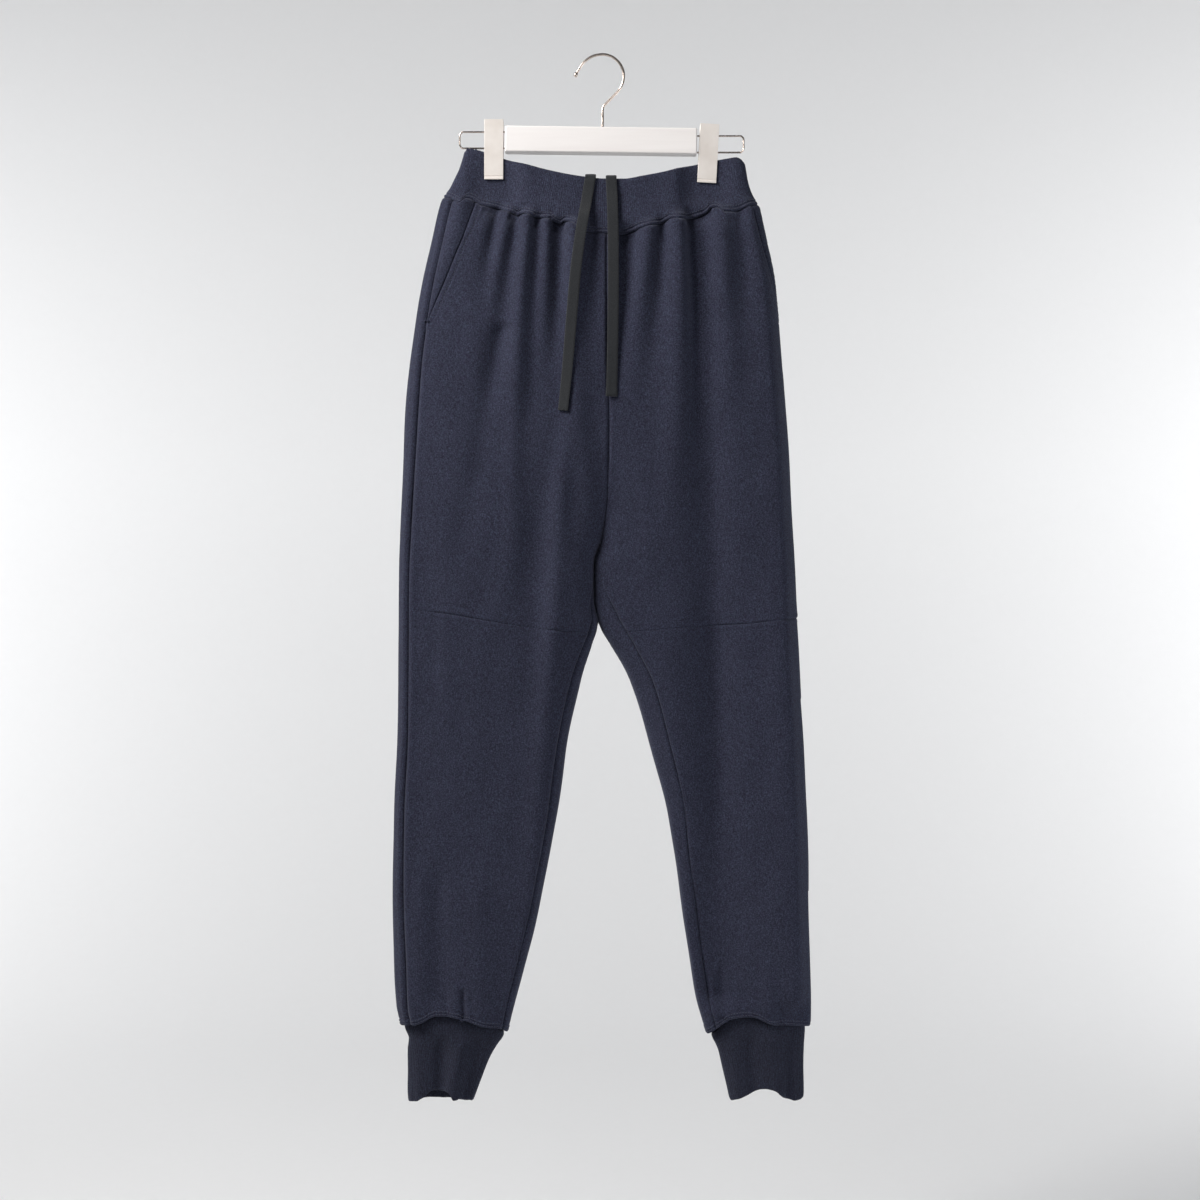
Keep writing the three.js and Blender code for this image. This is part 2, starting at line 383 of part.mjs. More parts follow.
// turn and drop of one column of a piece at a nominal row
function column(leg, from, to, w, row, back) {
  let d = row, turn = 0;
  for (let k = 0; k < 5; k++) {
    const u0 = from(leg, d), u1 = to(leg, d);
    turn = back ? mix(turnOf(u0), turnOf(u1), w) : turnOf(mix(u0, u1, w));
    d = rowDrop(leg, point(leg, turn, d).x, row, behind(turn));
  }
  return { turn, d };
}
const spacing = (a, back) => mix(a, (1 - Math.cos(Math.PI * a)) / 2, back ? 0.25 : 0.5);

// one cut piece of cloth between two lines across the leg
function panel(leg, from, to, rows, columns, back, thick, under = 0) {
  const out = [], inn = [];
  const surface = (turn, d) => point(leg, turn, d);
  for (let i = 0; i <= columns; i++) {
    const w = spacing(i / columns, back);
    const outLine = [], inLine = [];
    for (let j = 0; j < rows.length; j++) {
      let { turn, d } = column(leg, from, to, w, rows[j], back);
      if (j === 0) d += GAP;
      if (j === rows.length - 1) d -= GAP;
      if (i === 0 || i === columns) {
        const e = 0.01, along = surface(turn + e, d).distanceTo(surface(turn - e, d)) / (2 * e);
        turn += (i === 0 ? 1 : -1) * GAP / Math.max(along, 4);
      }
      const p = surface(turn, d), normal = outward(surface, leg, turn, d);
      const o = p.clone().addScaledVector(normal, -under);
      outLine.push(o);
      inLine.push(o.clone().addScaledVector(normal, -thick));
    }
    out.push(outLine); inn.push(inLine);
  }
  return wall(out, inn, false);
}

// closed band around the whole waist, its lower edge on the waist seam at the
// same columns as the pieces below it
function waistband() {
  const turns = [];
  const part = (leg, from, to, columns, back) => {
    const list = [];
    for (let i = 0; i < columns; i++) list.push({ leg, ...column(leg, from, to, spacing(i / columns, back), WAIST_ROW, back) });
    return list;
  };
  const full = (leg, from, to, columns, back) => part(leg, from, to, columns, back)
    .concat([{ leg, ...column(leg, from, to, 1, WAIST_ROW, back) }]);
  const nudge = (list, by) => { list[list.length - 1].turn += by; return list; };
  const front = (leg) => part(leg, sideSeam, pocketLine, POCKET_COLUMNS, false)
    .concat(nudge(full(leg, pocketLine, inSeam, FRONT_COLUMNS, false), -0.012));
  const back = (leg) => {
    const list = full(leg, inSeam, (l, d) => 2 + sideSeam(l, d), BACK_COLUMNS, true);
    list[0].turn += 0.012;
    list.pop();
    return list;
  };
  turns.push(...front(-1), ...front(1).reverse(), ...back(1).reverse(), ...back(-1));
  const out = [], inn = [];
  for (const { leg, turn, d: seam } of turns) {
    const outLine = [], inLine = [];
    const surface = (t, d) => point(leg, t, d);
    for (const s of [0, 0.3, 0.65, 1]) {
      let d = 140;
      for (let k = 0; k < 5; k++) {
        const top = read(BAND_TOP, 'x', 'drop', surface(turn, d).x);
        d = mix(top, seam - GAP - 0.1, s);
      }
      const p = surface(turn, d), normal = outward(surface, leg, turn, d);
      outLine.push(p);
      inLine.push(p.clone().addScaledVector(normal, -BAND));
    }
    out.push(outLine); inn.push(inLine);
  }
  return wall(out, inn, true);
}

// ribbed cuff, a closed ring below the leg
function cuff(leg) {
  const tag = leg < 0 ? 'R' : 'L', side = leg < 0 ? 'right' : 'left';
  const out = [], inn = [];
  const surface = (turn, d) => {
    const xo = read(CUFF_FORM, 'drop', 'outer' + tag, d), xi = read(CUFF_FORM, 'drop', 'inner' + tag, d);
    const c = Math.cos(turn), back = behind(turn);
    const y = read(CUFF_FORM, 'drop', back ? 'back' : 'front', d) * Math.pow(Math.abs(Math.sin(turn)), 0.8);
    return new THREE.Vector3(mix(xo, xi, (1 - c) / 2), back ? y : -y, -d);
  };
  for (let i = 0; i < 2 * CUFF_COLUMNS; i++) {
    const turn = Math.PI * (i + 0.001) / CUFF_COLUMNS, back = turn > Math.PI;
    const across = (1 - Math.cos(turn)) / 2;
    const top = read(CUFF_SEAM, 'across', side + (back ? 'Back' : 'Front'), across) + GAP + 0.35;
    const low = read(HEM, 'across', side + (back ? 'Back' : 'Front'), across);
    const outLine = [], inLine = [];
    for (const s of [0, 0.25, 0.6, 1]) {
      const d = mix(top, low, s), p = surface(turn, d), normal = outward(surface, leg, turn, d);
      outLine.push(p);
      inLine.push(p.clone().addScaledVector(normal, -CUFF));
    }
    out.push(outLine); inn.push(inLine);
  }
  return wall(out, inn, true);
}

// front surface under a tape, at the highest point of its width
function under(x, d) {
  let y = 0;
  for (const o of [-0.5, -0.25, 0, 0.25, 0.5]) {
    const px = x + o * TAPE_WIDE, leg = px < inner(-1, d) ? -1 : 1;
    const xo = outer(leg, d), xi = inner(leg, d);
    const u = Math.min(1, Math.max(0, (px - xo) / (xi - xo)));
    y = Math.min(y, point(leg, turnOf(u), d).y);
  }
  return y;
}

// tape over the band's top edge and down the front
function tape(entry) {
  const line = [];
  const first = entry.path[0], last = entry.path[entry.path.length - 1];
  const off = TAPE_CLEAR + TAPE_THICK / 2;
  const top = read(BAND_TOP, 'x', 'drop', first.x);
  const face = under(first.x, top + 2), middle = face + BAND / 2, r = BAND / 2 + off + 0.3;
  line.push({ x: first.x, y: middle + r, d: top + TAPE_TUCK });
  line.push({ x: first.x, y: middle + r, d: top + 5 });
  for (const a of [0, 45, 90, 135, 180]) {
    const t = a * Math.PI / 180;
    line.push({ x: first.x, y: middle + r * Math.cos(t), d: top + 1.2 - (r + 0.6) * Math.sin(t) });
  }
  const steps = 18;
  for (let i = 1; i <= steps; i++) {
    const d = mix(top + 4, last.drop, i / steps);
    const x = read(entry.path, 'drop', 'x', d);
    let y = 0;
    for (const h of [-9, -4.5, 0, 4.5, 9]) y = Math.min(y, under(x, Math.max(top + 2, d + h)));
    line.push({ x, y: y - off, d });
  }
  const out = [], inn = [];
  for (const o of [-0.5, 0.5]) {
    const outLine = [], inLine = [];
    for (let i = 0; i < line.length; i++) {
      const a = line[Math.max(0, i - 1)], b = line[Math.min(line.length - 1, i + 1)];
      const along = new THREE.Vector3(b.x - a.x, b.y - a.y, -(b.d - a.d)).normalize();
      const up = new THREE.Vector3(1, 0, 0).cross(along).normalize();
      const wide = new THREE.Vector3().crossVectors(along, up).normalize();
      const p = new THREE.Vector3(line[i].x, line[i].y, -line[i].d).addScaledVector(wide, o * TAPE_WIDE);
      outLine.push(p.clone().addScaledVector(up, TAPE_THICK / 2));
      inLine.push(p.clone().addScaledVector(up, -TAPE_THICK / 2));
    }
    out.push(outLine); inn.push(inLine);
  }
  return wall(out, inn, false);
}

// ------------------------------------------------------------------ hanger
const circle = (radius, sides) => {
  const shape = new THREE.Shape();
  for (let i = 0; i < sides; i++) {
    const a = 2 * Math.PI * i / sides;
    if (i) shape.lineTo(radius * Math.cos(a), radius * Math.sin(a)); else shape.moveTo(radius, 0);
  }
  shape.closePath();
  return shape;
};
function wire(points, radius, sides, steps) {
  const path = new THREE.CatmullRomCurve3(points, false, 'centripetal');
  return new THREE.ExtrudeGeometry(circle(radius, sides), { steps, extrudePath: path, bevelEnabled: false });
}
// box with its long edges rounded, drawn in the plane across X
function bar() {
  const w = BAR_DEEP / 2, h = BAR_HIGH / 2, r = 2.2, shape = new THREE.Shape();
  shape.moveTo(-w + r, -h); shape.lineTo(w - r, -h); shape.quadraticCurveTo(w, -h, w, -h + r);
  shape.lineTo(w, h - r); shape.quadraticCurveTo(w, h, w - r, h);
  shape.lineTo(-w + r, h); shape.quadraticCurveTo(-w, h, -w, h - r);
  shape.lineTo(-w, -h + r); shape.quadraticCurveTo(-w, -h, -w + r, -h);
  const geometry = new THREE.ExtrudeGeometry(shape, { depth: BAR_LONG, bevelEnabled: false, curveSegments: 3 });
  geometry.translate(0, 0, -BAR_LONG / 2);
  geometry.rotateY(Math.PI / 2).rotateX(Math.PI / 2);
  return geometry;
}
// plate of a clip: flat, with a turned-in jaw at its lower end
function clipPlate(length) {
  const t = CLIP_PLATE, shape = new THREE.Shape();
  shape.moveTo(0, 0); shape.lineTo(-t, 0); shape.lineTo(-t - 0.5, -length + 3.2); shape.lineTo(-t - 1.3, -length);
  shape.lineTo(-0.9, -length); shape.lineTo(0, -length + 3.0);
  shape.closePath();
  const geometry = new THREE.ExtrudeGeometry(shape, { depth: CLIP_WIDE, bevelEnabled: false });
  geometry.translate(0, 0, -CLIP_WIDE / 2);
  geometry.rotateX(Math.PI / 2).rotateZ(Math.PI / 2).rotateZ(0);
  return geometry;
}

// ------------------------------------------------------------------ build
const group = new THREE.Group();
function add(name, geometry, look, place) {
  const mesh = new THREE.Mesh(geometry, new THREE.MeshStandardMaterial(look));
  mesh.name = name;
  if (place) place(mesh);
  group.add(mesh);
  return mesh;
}

const pocketRows = UPPER_ROWS.filter((d) => d <= POCKET_END);
for (const leg of [-1, 1]) {
  const side = leg < 0 ? 'right' : 'left';
  const frontFrom = (l, d) => d < POCKET_END ? Math.max(pocketLine(l, d), sideSeam(l, d)) : sideSeam(l, d);
  add('front_' + side, panel(leg, frontFrom, inSeam, UPPER_ROWS, FRONT_COLUMNS, false, CLOTH), NAVY);
  add('shin_' + side, panel(leg, sideSeam, inSeam, LOWER_ROWS, SHIN_COLUMNS, false, CLOTH), NAVY);
  // one cut piece at the back, in two solids that meet level with the front's knee seam
  const backTo = (l, d) => 2 + sideSeam(l, d);
  add('back_' + side, panel(leg, inSeam, backTo, UPPER_ROWS, BACK_COLUMNS, true, CLOTH), NAVY);
  add('calf_' + side, panel(leg, inSeam, backTo, LOWER_ROWS, BACK_COLUMNS, true, CLOTH), NAVY);
  add('pocket_' + side, panel(leg, sideSeam, pocketLine, pocketRows, POCKET_COLUMNS, false, CLOTH, POCKET_STEP), NAVY);
  add('cuff_' + side, cuff(leg), RIB);
}
add('waistband', waistband(), RIB);
for (const entry of TAPES) add(entry.name, tape(entry), TAPE);

const tilt = BAR_TILT * Math.PI / 180;
add('hanger_bar', bar(), PAINT, (m) => { m.position.set(-1.0, 0, -(BAR_DROP + BAR_HIGH / 2)); m.rotation.y = tilt; });
const hookPoints = HOOK_PATH.map((p) => new THREE.Vector3(p.x, 0, -p.drop));
add('hanger_hook', wire(hookPoints, HOOK_WIRE, 10, 56), STEEL);
const tip = HOOK_PATH[HOOK_PATH.length - 1];
const ball = new THREE.SphereGeometry(2.6, 12, 8);
add('hanger_hook_tip', ball, STEEL, (m) => m.position.set(tip.x - 1.6, 0, -(tip.drop + 2.75)));
for (const s of SIDES) {
  const start = s.sign * (BAR_LONG / 2 + 0.4) - 1.0, r = 4.2, e = s.end;
  const dz = (d) => -d;
  const pts = [[start, s.upper], [mix(start, e, 0.5), s.upper], [e - s.sign * r, s.upper], [e - s.sign * 1.2, s.upper + 1.2], [e, s.upper + r],
    [e, s.lower - r], [e - s.sign * 1.2, s.lower - 1.2], [e - s.sign * r, s.lower], [mix(start, e, 0.5), s.lower], [start, s.lower]]
    .map(([x, d]) => new THREE.Vector3(x, 0, dz(d)));
  add('hanger_loop_' + s.side, wire(pts, LOOP_WIRE, 8, 40), STEEL);
  const length = s.clipEnd - s.clipTop, lean = s.tilt * Math.PI / 180;
  for (const face of [-1, 1]) {
    add('clip_' + (face < 0 ? 'front_' : 'back_') + s.side, clipPlate(length), STEEL, (m) => {
      m.position.set(s.clipX + Math.tan(lean) * length / 2, face * CLIP_FACE, -s.clipTop);
      m.rotation.set(0, lean, face < 0 ? 0 : Math.PI);
    });
  }
  const spring = new THREE.CylinderGeometry(3.4, 3.4, CLIP_WIDE - 5, 14);
  add('clip_spring_' + s.side, spring, STEEL, (m) => { m.position.set(s.clipX + Math.tan(lean) * length * 0.2, 0, -(s.upper + s.lower) / 2); m.rotation.z = Math.PI / 2; });
}

export default group;
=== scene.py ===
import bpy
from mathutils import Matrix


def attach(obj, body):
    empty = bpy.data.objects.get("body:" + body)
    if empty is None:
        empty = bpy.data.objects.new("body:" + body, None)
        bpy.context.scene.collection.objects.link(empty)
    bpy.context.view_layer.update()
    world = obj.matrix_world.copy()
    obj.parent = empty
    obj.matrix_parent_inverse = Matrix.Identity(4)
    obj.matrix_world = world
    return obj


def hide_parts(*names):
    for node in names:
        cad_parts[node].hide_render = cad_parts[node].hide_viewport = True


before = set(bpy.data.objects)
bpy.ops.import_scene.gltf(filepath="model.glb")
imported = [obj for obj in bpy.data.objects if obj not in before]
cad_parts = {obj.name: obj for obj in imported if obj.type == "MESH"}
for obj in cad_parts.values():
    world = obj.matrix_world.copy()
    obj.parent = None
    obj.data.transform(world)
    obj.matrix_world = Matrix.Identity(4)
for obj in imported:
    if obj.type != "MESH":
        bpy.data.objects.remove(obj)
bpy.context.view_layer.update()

import math
import bpy
import bmesh
import numpy as np
from mathutils import Vector

# Sizes are in millimetres here and are scaled to metres as each mesh is made.
# "drop" is the distance below the inside top of the hanger's hook.

# ------------------------------------------------------------------ camera
CAMERA_BACK, CAMERA_DROP, CAMERA_X, FIELD = 2300.0, 574.5, -2.1, 1267.2
scene = bpy.context.scene
camera_data = bpy.data.cameras.new("camera")
camera = bpy.data.objects.new("camera", camera_data)
scene.collection.objects.link(camera)
camera.location = (CAMERA_X / 1000, -CAMERA_BACK / 1000, -CAMERA_DROP / 1000)
camera.rotation_euler = (math.radians(90), 0, 0)
camera_data.sensor_width = 36
camera_data.lens = 36 * CAMERA_BACK / FIELD
camera_data.clip_end = 60
scene.camera = camera

# ------------------------------------------------------------------ tables


def table(names, rows):
    a = np.array(rows, float)
    return {n: a[:, i] for i, n in enumerate(names.split())}


OUTLINE = table("drop outerR inner split outerL", [
    (92, -143.8, 5.3, 0.2, 141.5), (100, -145.0, 5.3, 0.2, 143.0), (107, -146.3, 5.3, 0.2, 146.6),
    (113, -148.2, 5.3, 0.2, 150.0), (120, -150.4, 5.3, 0.2, 151.6), (130, -155.4, 5.3, 0.2, 153.4),
    (140, -160.6, 5.3, 0.2, 156.0), (148, -166.2, 5.3, 0.2, 159.2), (156, -170.2, 5.3, 0.2, 163.4),
    (168, -173.8, 5.3, 0.2, 167.4), (194, -179.6, 5.3, 0.2, 173.0), (236, -188.8, 5.3, 0.2, 181.8),
    (279, -196.4, 5.4, 0.2, 186.6), (331, -203.4, 6.4, 0.2, 190.4), (395, -208.0, 7.4, 0.2, 195.4),
    (458, -210.7, 5.8, 0.25, 199.1), (511, -212.3, -1.1, 0.3, 201.7), (537, -213.3, -8.6, 0.4, 203.3),
    (574, -214.2, -9.0, 0.7, 205.2), (598, -214.4, -4.4, 1.1, 206.8), (622, -214.5, -0.8, 10.0, 208.0),
    (659, -214.6, 3.7, 25.9, 209.6), (722, -215.6, 6.4, 42.2, 212.3), (807, -219.4, 11.1, 59.7, 216.5),
    (891, -220.7, 9.5, 73.9, 218.3), (965, -219.1, 5.8, 88.2, 219.7), (1000, -216.6, 4.4, 96.4, 220.3),
    (1016, -213.4, 4.6, 100.6, 220.2), (1023, -211.4, 4.9, 102.4, 219.2), (1030, -207.6, 5.2, 104.8, 216.6),
    (1036, -204.5, 5.6, 108.0, 213.0)])
DEPTH = table("drop front back open shift", [
    (92, 12.5, 12.5, 1.0, 0), (112, 13.5, 13.5, 1.0, 0), (132, 14.5, 14.5, 1.0, 0), (150, 16.0, 15.5, 1.0, 0),
    (166, 19.0, 18.0, 1.0, 0), (190, 23.0, 22.0, 1.0, 0), (225, 27.5, 26.5, 1.0, 0), (270, 31.0, 30.5, 0.99, 0),
    (330, 33.5, 33.5, 0.96, 0), (400, 34.5, 35.5, 0.88, 0), (450, 34.5, 36.0, 0.74, 0), (490, 34.0, 35.5, 0.50, 0.6),
    (515, 33.0, 34.5, 0.24, 1.4), (537, 32.0, 33.5, 0.0, 2.2), (600, 30.5, 31.5, 0.0, 2.6), (660, 29.0, 29.5, 0.0, 1.2),
    (760, 27.0, 27.5, 0.0, 0), (880, 25.0, 25.5, 0.0, 0), (960, 24.0, 24.0, 0.0, 0), (1005, 22.5, 22.5, 0.0, 0),
    (1023, 19.6, 19.6, 0.0, 0), (1036, 16.8, 16.8, 0.0, 0)])
SEAMS = table("drop sideR sideL inR inL", [
    (92, 12.0, -6, 0, 0), (284, 12.7, -6, 0, 0), (395, 13.5, -6, 0, 0), (528, 11.0, -6, 0, 0), (540, 11.0, -6, 0, 2), (560, 11.0, -6, 1.5, 12),
    (575, 11.0, -6, 3, 18), (592, 11.0, -6, 5, 23), (610, 11.0, -6, 7, 25), (650, 11.5, -6, 10, 23.5),
    (712, 11.0, -6, 9.8, 22), (760, 10.5, -6, 9.5, 20.5), (850, 11.0, -6, 8.5, 15),
    (960, 12.5, -6, 8.5, 14), (1030, 10.5, -6, 6.5, 12)])
BAND_TOP = table("x drop", [
    (-147, 105.0), (-145, 100.6), (-142, 98.2), (-137, 98.7), (-130, 100.3), (-124, 102.2), (-113, 106.0), (-102, 110.0),
    (-77.5, 117.0), (-57, 122.4), (-20, 129.5), (1, 131.6), (23, 131.8), (44, 128.4), (66, 124.0), (87, 118.6),
    (111, 113.0), (124.5, 110.3), (135, 108.6), (142, 107.5), (146, 108.6), (149, 111.6), (152, 115.0)])
WAIST_SEAM = table("x front back", [
    (-170, 148.4, 148.0), (-163.7, 150.4, 151.0), (-156, 154.0, 152.6), (-150.5, 157.2, 153.4), (-146.5, 154.4, 153.8),
    (-143, 151.8, 154.2), (-137, 152.6, 155.2), (-133, 155.2, 156.2), (-128, 158.4, 157.2), (-120, 160.0, 158.6),
    (-109.9, 162.2, 161.6), (-99, 165.8, 164.6), (-93.3, 168.2, 166.8), (-88.5, 170.4, 168.2), (-84, 168.8, 169.0),
    (-75.4, 170.2, 171.2), (-70, 173.2, 172.6), (-64, 173.8, 173.4), (-54, 174.0, 175.6), (-51.4, 176.8, 176.2),
    (-43.5, 179.8, 178.2), (-39.8, 177.8, 179.0), (-31.5, 178.6, 180.8), (-24, 184.5, 182.6), (-18.3, 188.4, 184.0),
    (1, 190.4, 187.0), (17.8, 192.0, 188.4), (31.1, 188.4, 187.0), (41.8, 184.2, 184.6), (53.8, 181.4, 181.0),
    (60.4, 180.4, 179.2), (67, 177.2, 176.8), (72.3, 174.9, 175.4), (84.3, 174.6, 173.4), (88, 174.4, 172.8),
    (97, 172.2, 170.2), (104.2, 170.2, 168.6), (110.9, 166.4, 167.0), (114.8, 162.0, 166.0), (120.1, 161.0, 165.0),
    (124.2, 163.0, 164.4), (128.2, 166.0, 163.8), (138.8, 166.0, 162.4), (146.8, 163.6, 161.0), (156.1, 159.4, 158.0),
    (163, 157.6, 156.0)])
KNEE = table("in right left", [
    (0, 583.0, 593.0), (24, 585.5, 596.0), (60, 590.0, 599.5), (100, 597.0, 602.0), (150, 604.5, 605.5), (215, 610.0, 612.0)])
POCKET = table("drop right left", [(140, 37.5, 9.0), (158, 38.0, 8.0), (222, 29.5, 4.5), (284, 14.2, -3.5)])
POCKET_END = 284
CUFF_SEAM = table("across right left back", [
    (0, 1021.6, 1022.4, 1021.6), (0.05, 1020.8, 1021.6, 1021.0), (0.11, 1020.4, 1020.9, 1020.2), (0.18, 1018.6, 1020.2, 1018.6),
    (0.24, 1015.6, 1020.0, 1017.6), (0.29, 1011.9, 1020.0, 1016.4), (0.34, 1010.2, 1019.9, 1015.2), (0.41, 1010.2, 1017.4, 1014.2),
    (0.48, 1011.3, 1013.4, 1013.8), (0.56, 1013.4, 1011.3, 1013.8), (0.62, 1015.3, 1011.2, 1014.2), (0.68, 1018.2, 1011.9, 1015.4),
    (0.75, 1021.0, 1013.8, 1017.4), (0.82, 1022.6, 1019.0, 1020.2), (0.89, 1023.6, 1025.6, 1023.6), (0.95, 1026.8, 1030.4, 1027.4),
    (1, 1031.0, 1033.6, 1031.6)])
HEM = table("across rightFront rightBack leftFront leftBack", [
    (0, 1103.0, 1103.0, 1098.4, 1098.4), (0.04, 1102.2, 1103.4, 1100.4, 1101.6), (0.12, 1101.3, 1103.8, 1100.7, 1103.4),
    (0.20, 1098.4, 1103.0, 1098.8, 1103.4), (0.27, 1095.2, 1102.4, 1096.2, 1101.4), (0.31, 1091.9, 1102.2, 1094.0, 1098.6),
    (0.36, 1089.7, 1102.2, 1090.4, 1095.4), (0.42, 1089.5, 1102.2, 1088.6, 1093.0), (0.50, 1089.9, 1102.4, 1087.6, 1092.2),
    (0.57, 1090.8, 1102.8, 1088.2, 1093.0), (0.62, 1092.6, 1103.2, 1089.6, 1094.6), (0.66, 1096.8, 1103.6, 1091.2, 1096.4),
    (0.70, 1099.2, 1104.2, 1092.9, 1098.4), (0.75, 1099.6, 1104.6, 1094.8, 1100.2), (0.79, 1098.4, 1104.8, 1096.0, 1101.2),
    (0.86, 1099.5, 1104.8, 1098.4, 1102.6), (0.93, 1099.8, 1104.6, 1100.2, 1103.0), (0.98, 1101.8, 1103.8, 1101.6, 1102.6),
    (1, 1102.4, 1102.4, 1100.6, 1100.6)])
CUFF_FORM = table("drop outerR innerR innerL outerL front back", [
    (1008, -209.5, -98.5, 109.0, 214.8, 17.0, 17.0), (1020, -209.0, -99.6, 111.2, 214.6, 17.0, 17.0),
    (1026, -207.8, -101.2, 113.2, 214.3, 16.8, 16.8), (1031, -205.6, -102.8, 114.8, 214.0, 16.4, 16.4),
    (1036, -203.6, -105.4, 116.6, 213.6, 16.0, 16.0), (1041, -203.9, -109.2, 119.2, 213.2, 15.8, 15.8),
    (1048, -204.8, -113.6, 122.4, 212.9, 15.5, 15.5), (1060, -205.1, -119.6, 125.6, 212.6, 15.5, 15.5),
    (1084, -205.0, -129.2, 130.9, 212.3, 16.0, 15.5), (1108, -203.4, -138.4, 135.2, 212.0, 16.5, 16.0)])

# face, kind, x0, d0, x1, d1, x2, d2, half width, height, what is left at the end
FOLDS = [
    ("front", +1, -96, 160, -117.5, 250, -129, 330, 8.0, 2.2, 0), ("front", -1, -107, 158, -119.6, 216, -134, 300, 8.0, 2.4, 0),
    ("front", -1, -87, 165, -100.9, 252, -120, 400, 9.0, 5.0, 0), ("front", +1, -77, 168, -87.3, 309, -93.6, 580, 8.5, 5.0, 0.4),
    ("front", -1, -67.6, 171, -73.8, 294, -74.9, 410, 7.5, 4.2, 0.3), ("front", +1, -55, 174, -59.3, 252, -64.5, 350, 7.5, 3.4, 0),
    ("front", -1, -43.7, 177, -45.8, 257, -56.2, 375, 8.0, 6.0, 0.1), ("front", +1, -29, 178, -30.2, 283, -18.7, 450, 10.0, 5.0, 0.9),
    ("front", +1, -18.7, 450, -37.5, 575, -66.6, 840, 17.0, 4.5, 0.1), ("front", -1, -63.4, 420, -70.7, 543, -87.3, 800, 17.0, 4.0, 0),
    ("front", -1, 29, 184, 24.9, 263, 16.6, 370, 10.0, 4.5, 0), ("front", +1, 50.9, 180, 40.5, 252, 26.0, 400, 8.5, 4.0, 0),
    ("front", -1, 64.4, 175, 58.2, 268, 39.5, 420, 8.0, 3.6, 0), ("front", +1, 81, 170, 80.0, 304, 62.3, 560, 11.0, 5.5, 0.2),
    ("front", -1, 103, 166, 108.1, 356, 120.5, 640, 13.0, 6.5, 0.6), ("front", -1, 120.5, 640, 124.0, 740, 128.0, 900, 16.0, 3.9, 0),
    ("front", +1, 124.7, 160, 128.9, 263, 141.3, 440, 9.0, 3.8, 0), ("front", -1, 144.5, 160, 148.6, 252, 155.9, 380, 8.0, 3.0, 0),
    ("front", +1, 60.3, 574, 74.8, 699, 98.0, 920, 17.0, 3.5, 0.3), ("front", +1, 176.7, 520, 185.0, 741, 190.2, 980, 15.0, 2.5, 0.5),
    ("front", -1, -168.4, 840, -170.5, 949, -168.4, 1024, 9.0, 3.2, 1), ("front", +1, -190.3, 840, -192.3, 949, -195.5, 1024, 8.0, 2.0, 1),
    ("front", +1, -127.9, 840, -128.9, 949, -132.0, 1024, 12.0, 2.8, 1), ("front", +1, -146, 156, -161, 211, -178, 285, 9.0, 2.6, 0),
    ("back", -1, -118, 160, -128, 255, -140, 380, 9.0, 4.5, 0), ("back", +1, -98, 164, -105, 290, -112, 520, 10.0, 4.5, 0.2),
    ("back", -1, -76, 170, -80, 262, -88, 400, 9.0, 5.0, 0), ("back", +1, -54, 175, -55, 300, -48, 470, 9.5, 4.8, 0.3),
    ("back", -1, -32, 180, -34, 250, -40, 350, 8.5, 4.6, 0), ("back", +1, -12, 184, -14, 262, -20, 400, 8.0, 3.4, 0),
    ("back", +1, 26, 186, 26, 270, 30, 430, 8.5, 4.2, 0), ("back", -1, 44, 182, 45, 260, 52, 380, 8.5, 5.0, 0),
    ("back", +1, 66, 176, 66, 310, 60, 540, 10.0, 5.0, 0.3), ("back", -1, 88, 170, 92, 280, 102, 500, 10.0, 5.0, 0.1),
    ("back", +1, 112, 164, 118, 250, 132, 380, 9.0, 3.6, 0), ("back", +1, -66, 540, -84, 680, -104, 860, 20.0, 3.5, 0.2),
    ("back", -1, 104, 560, 118, 700, 134, 900, 20.0, 4.0, 0.2)]
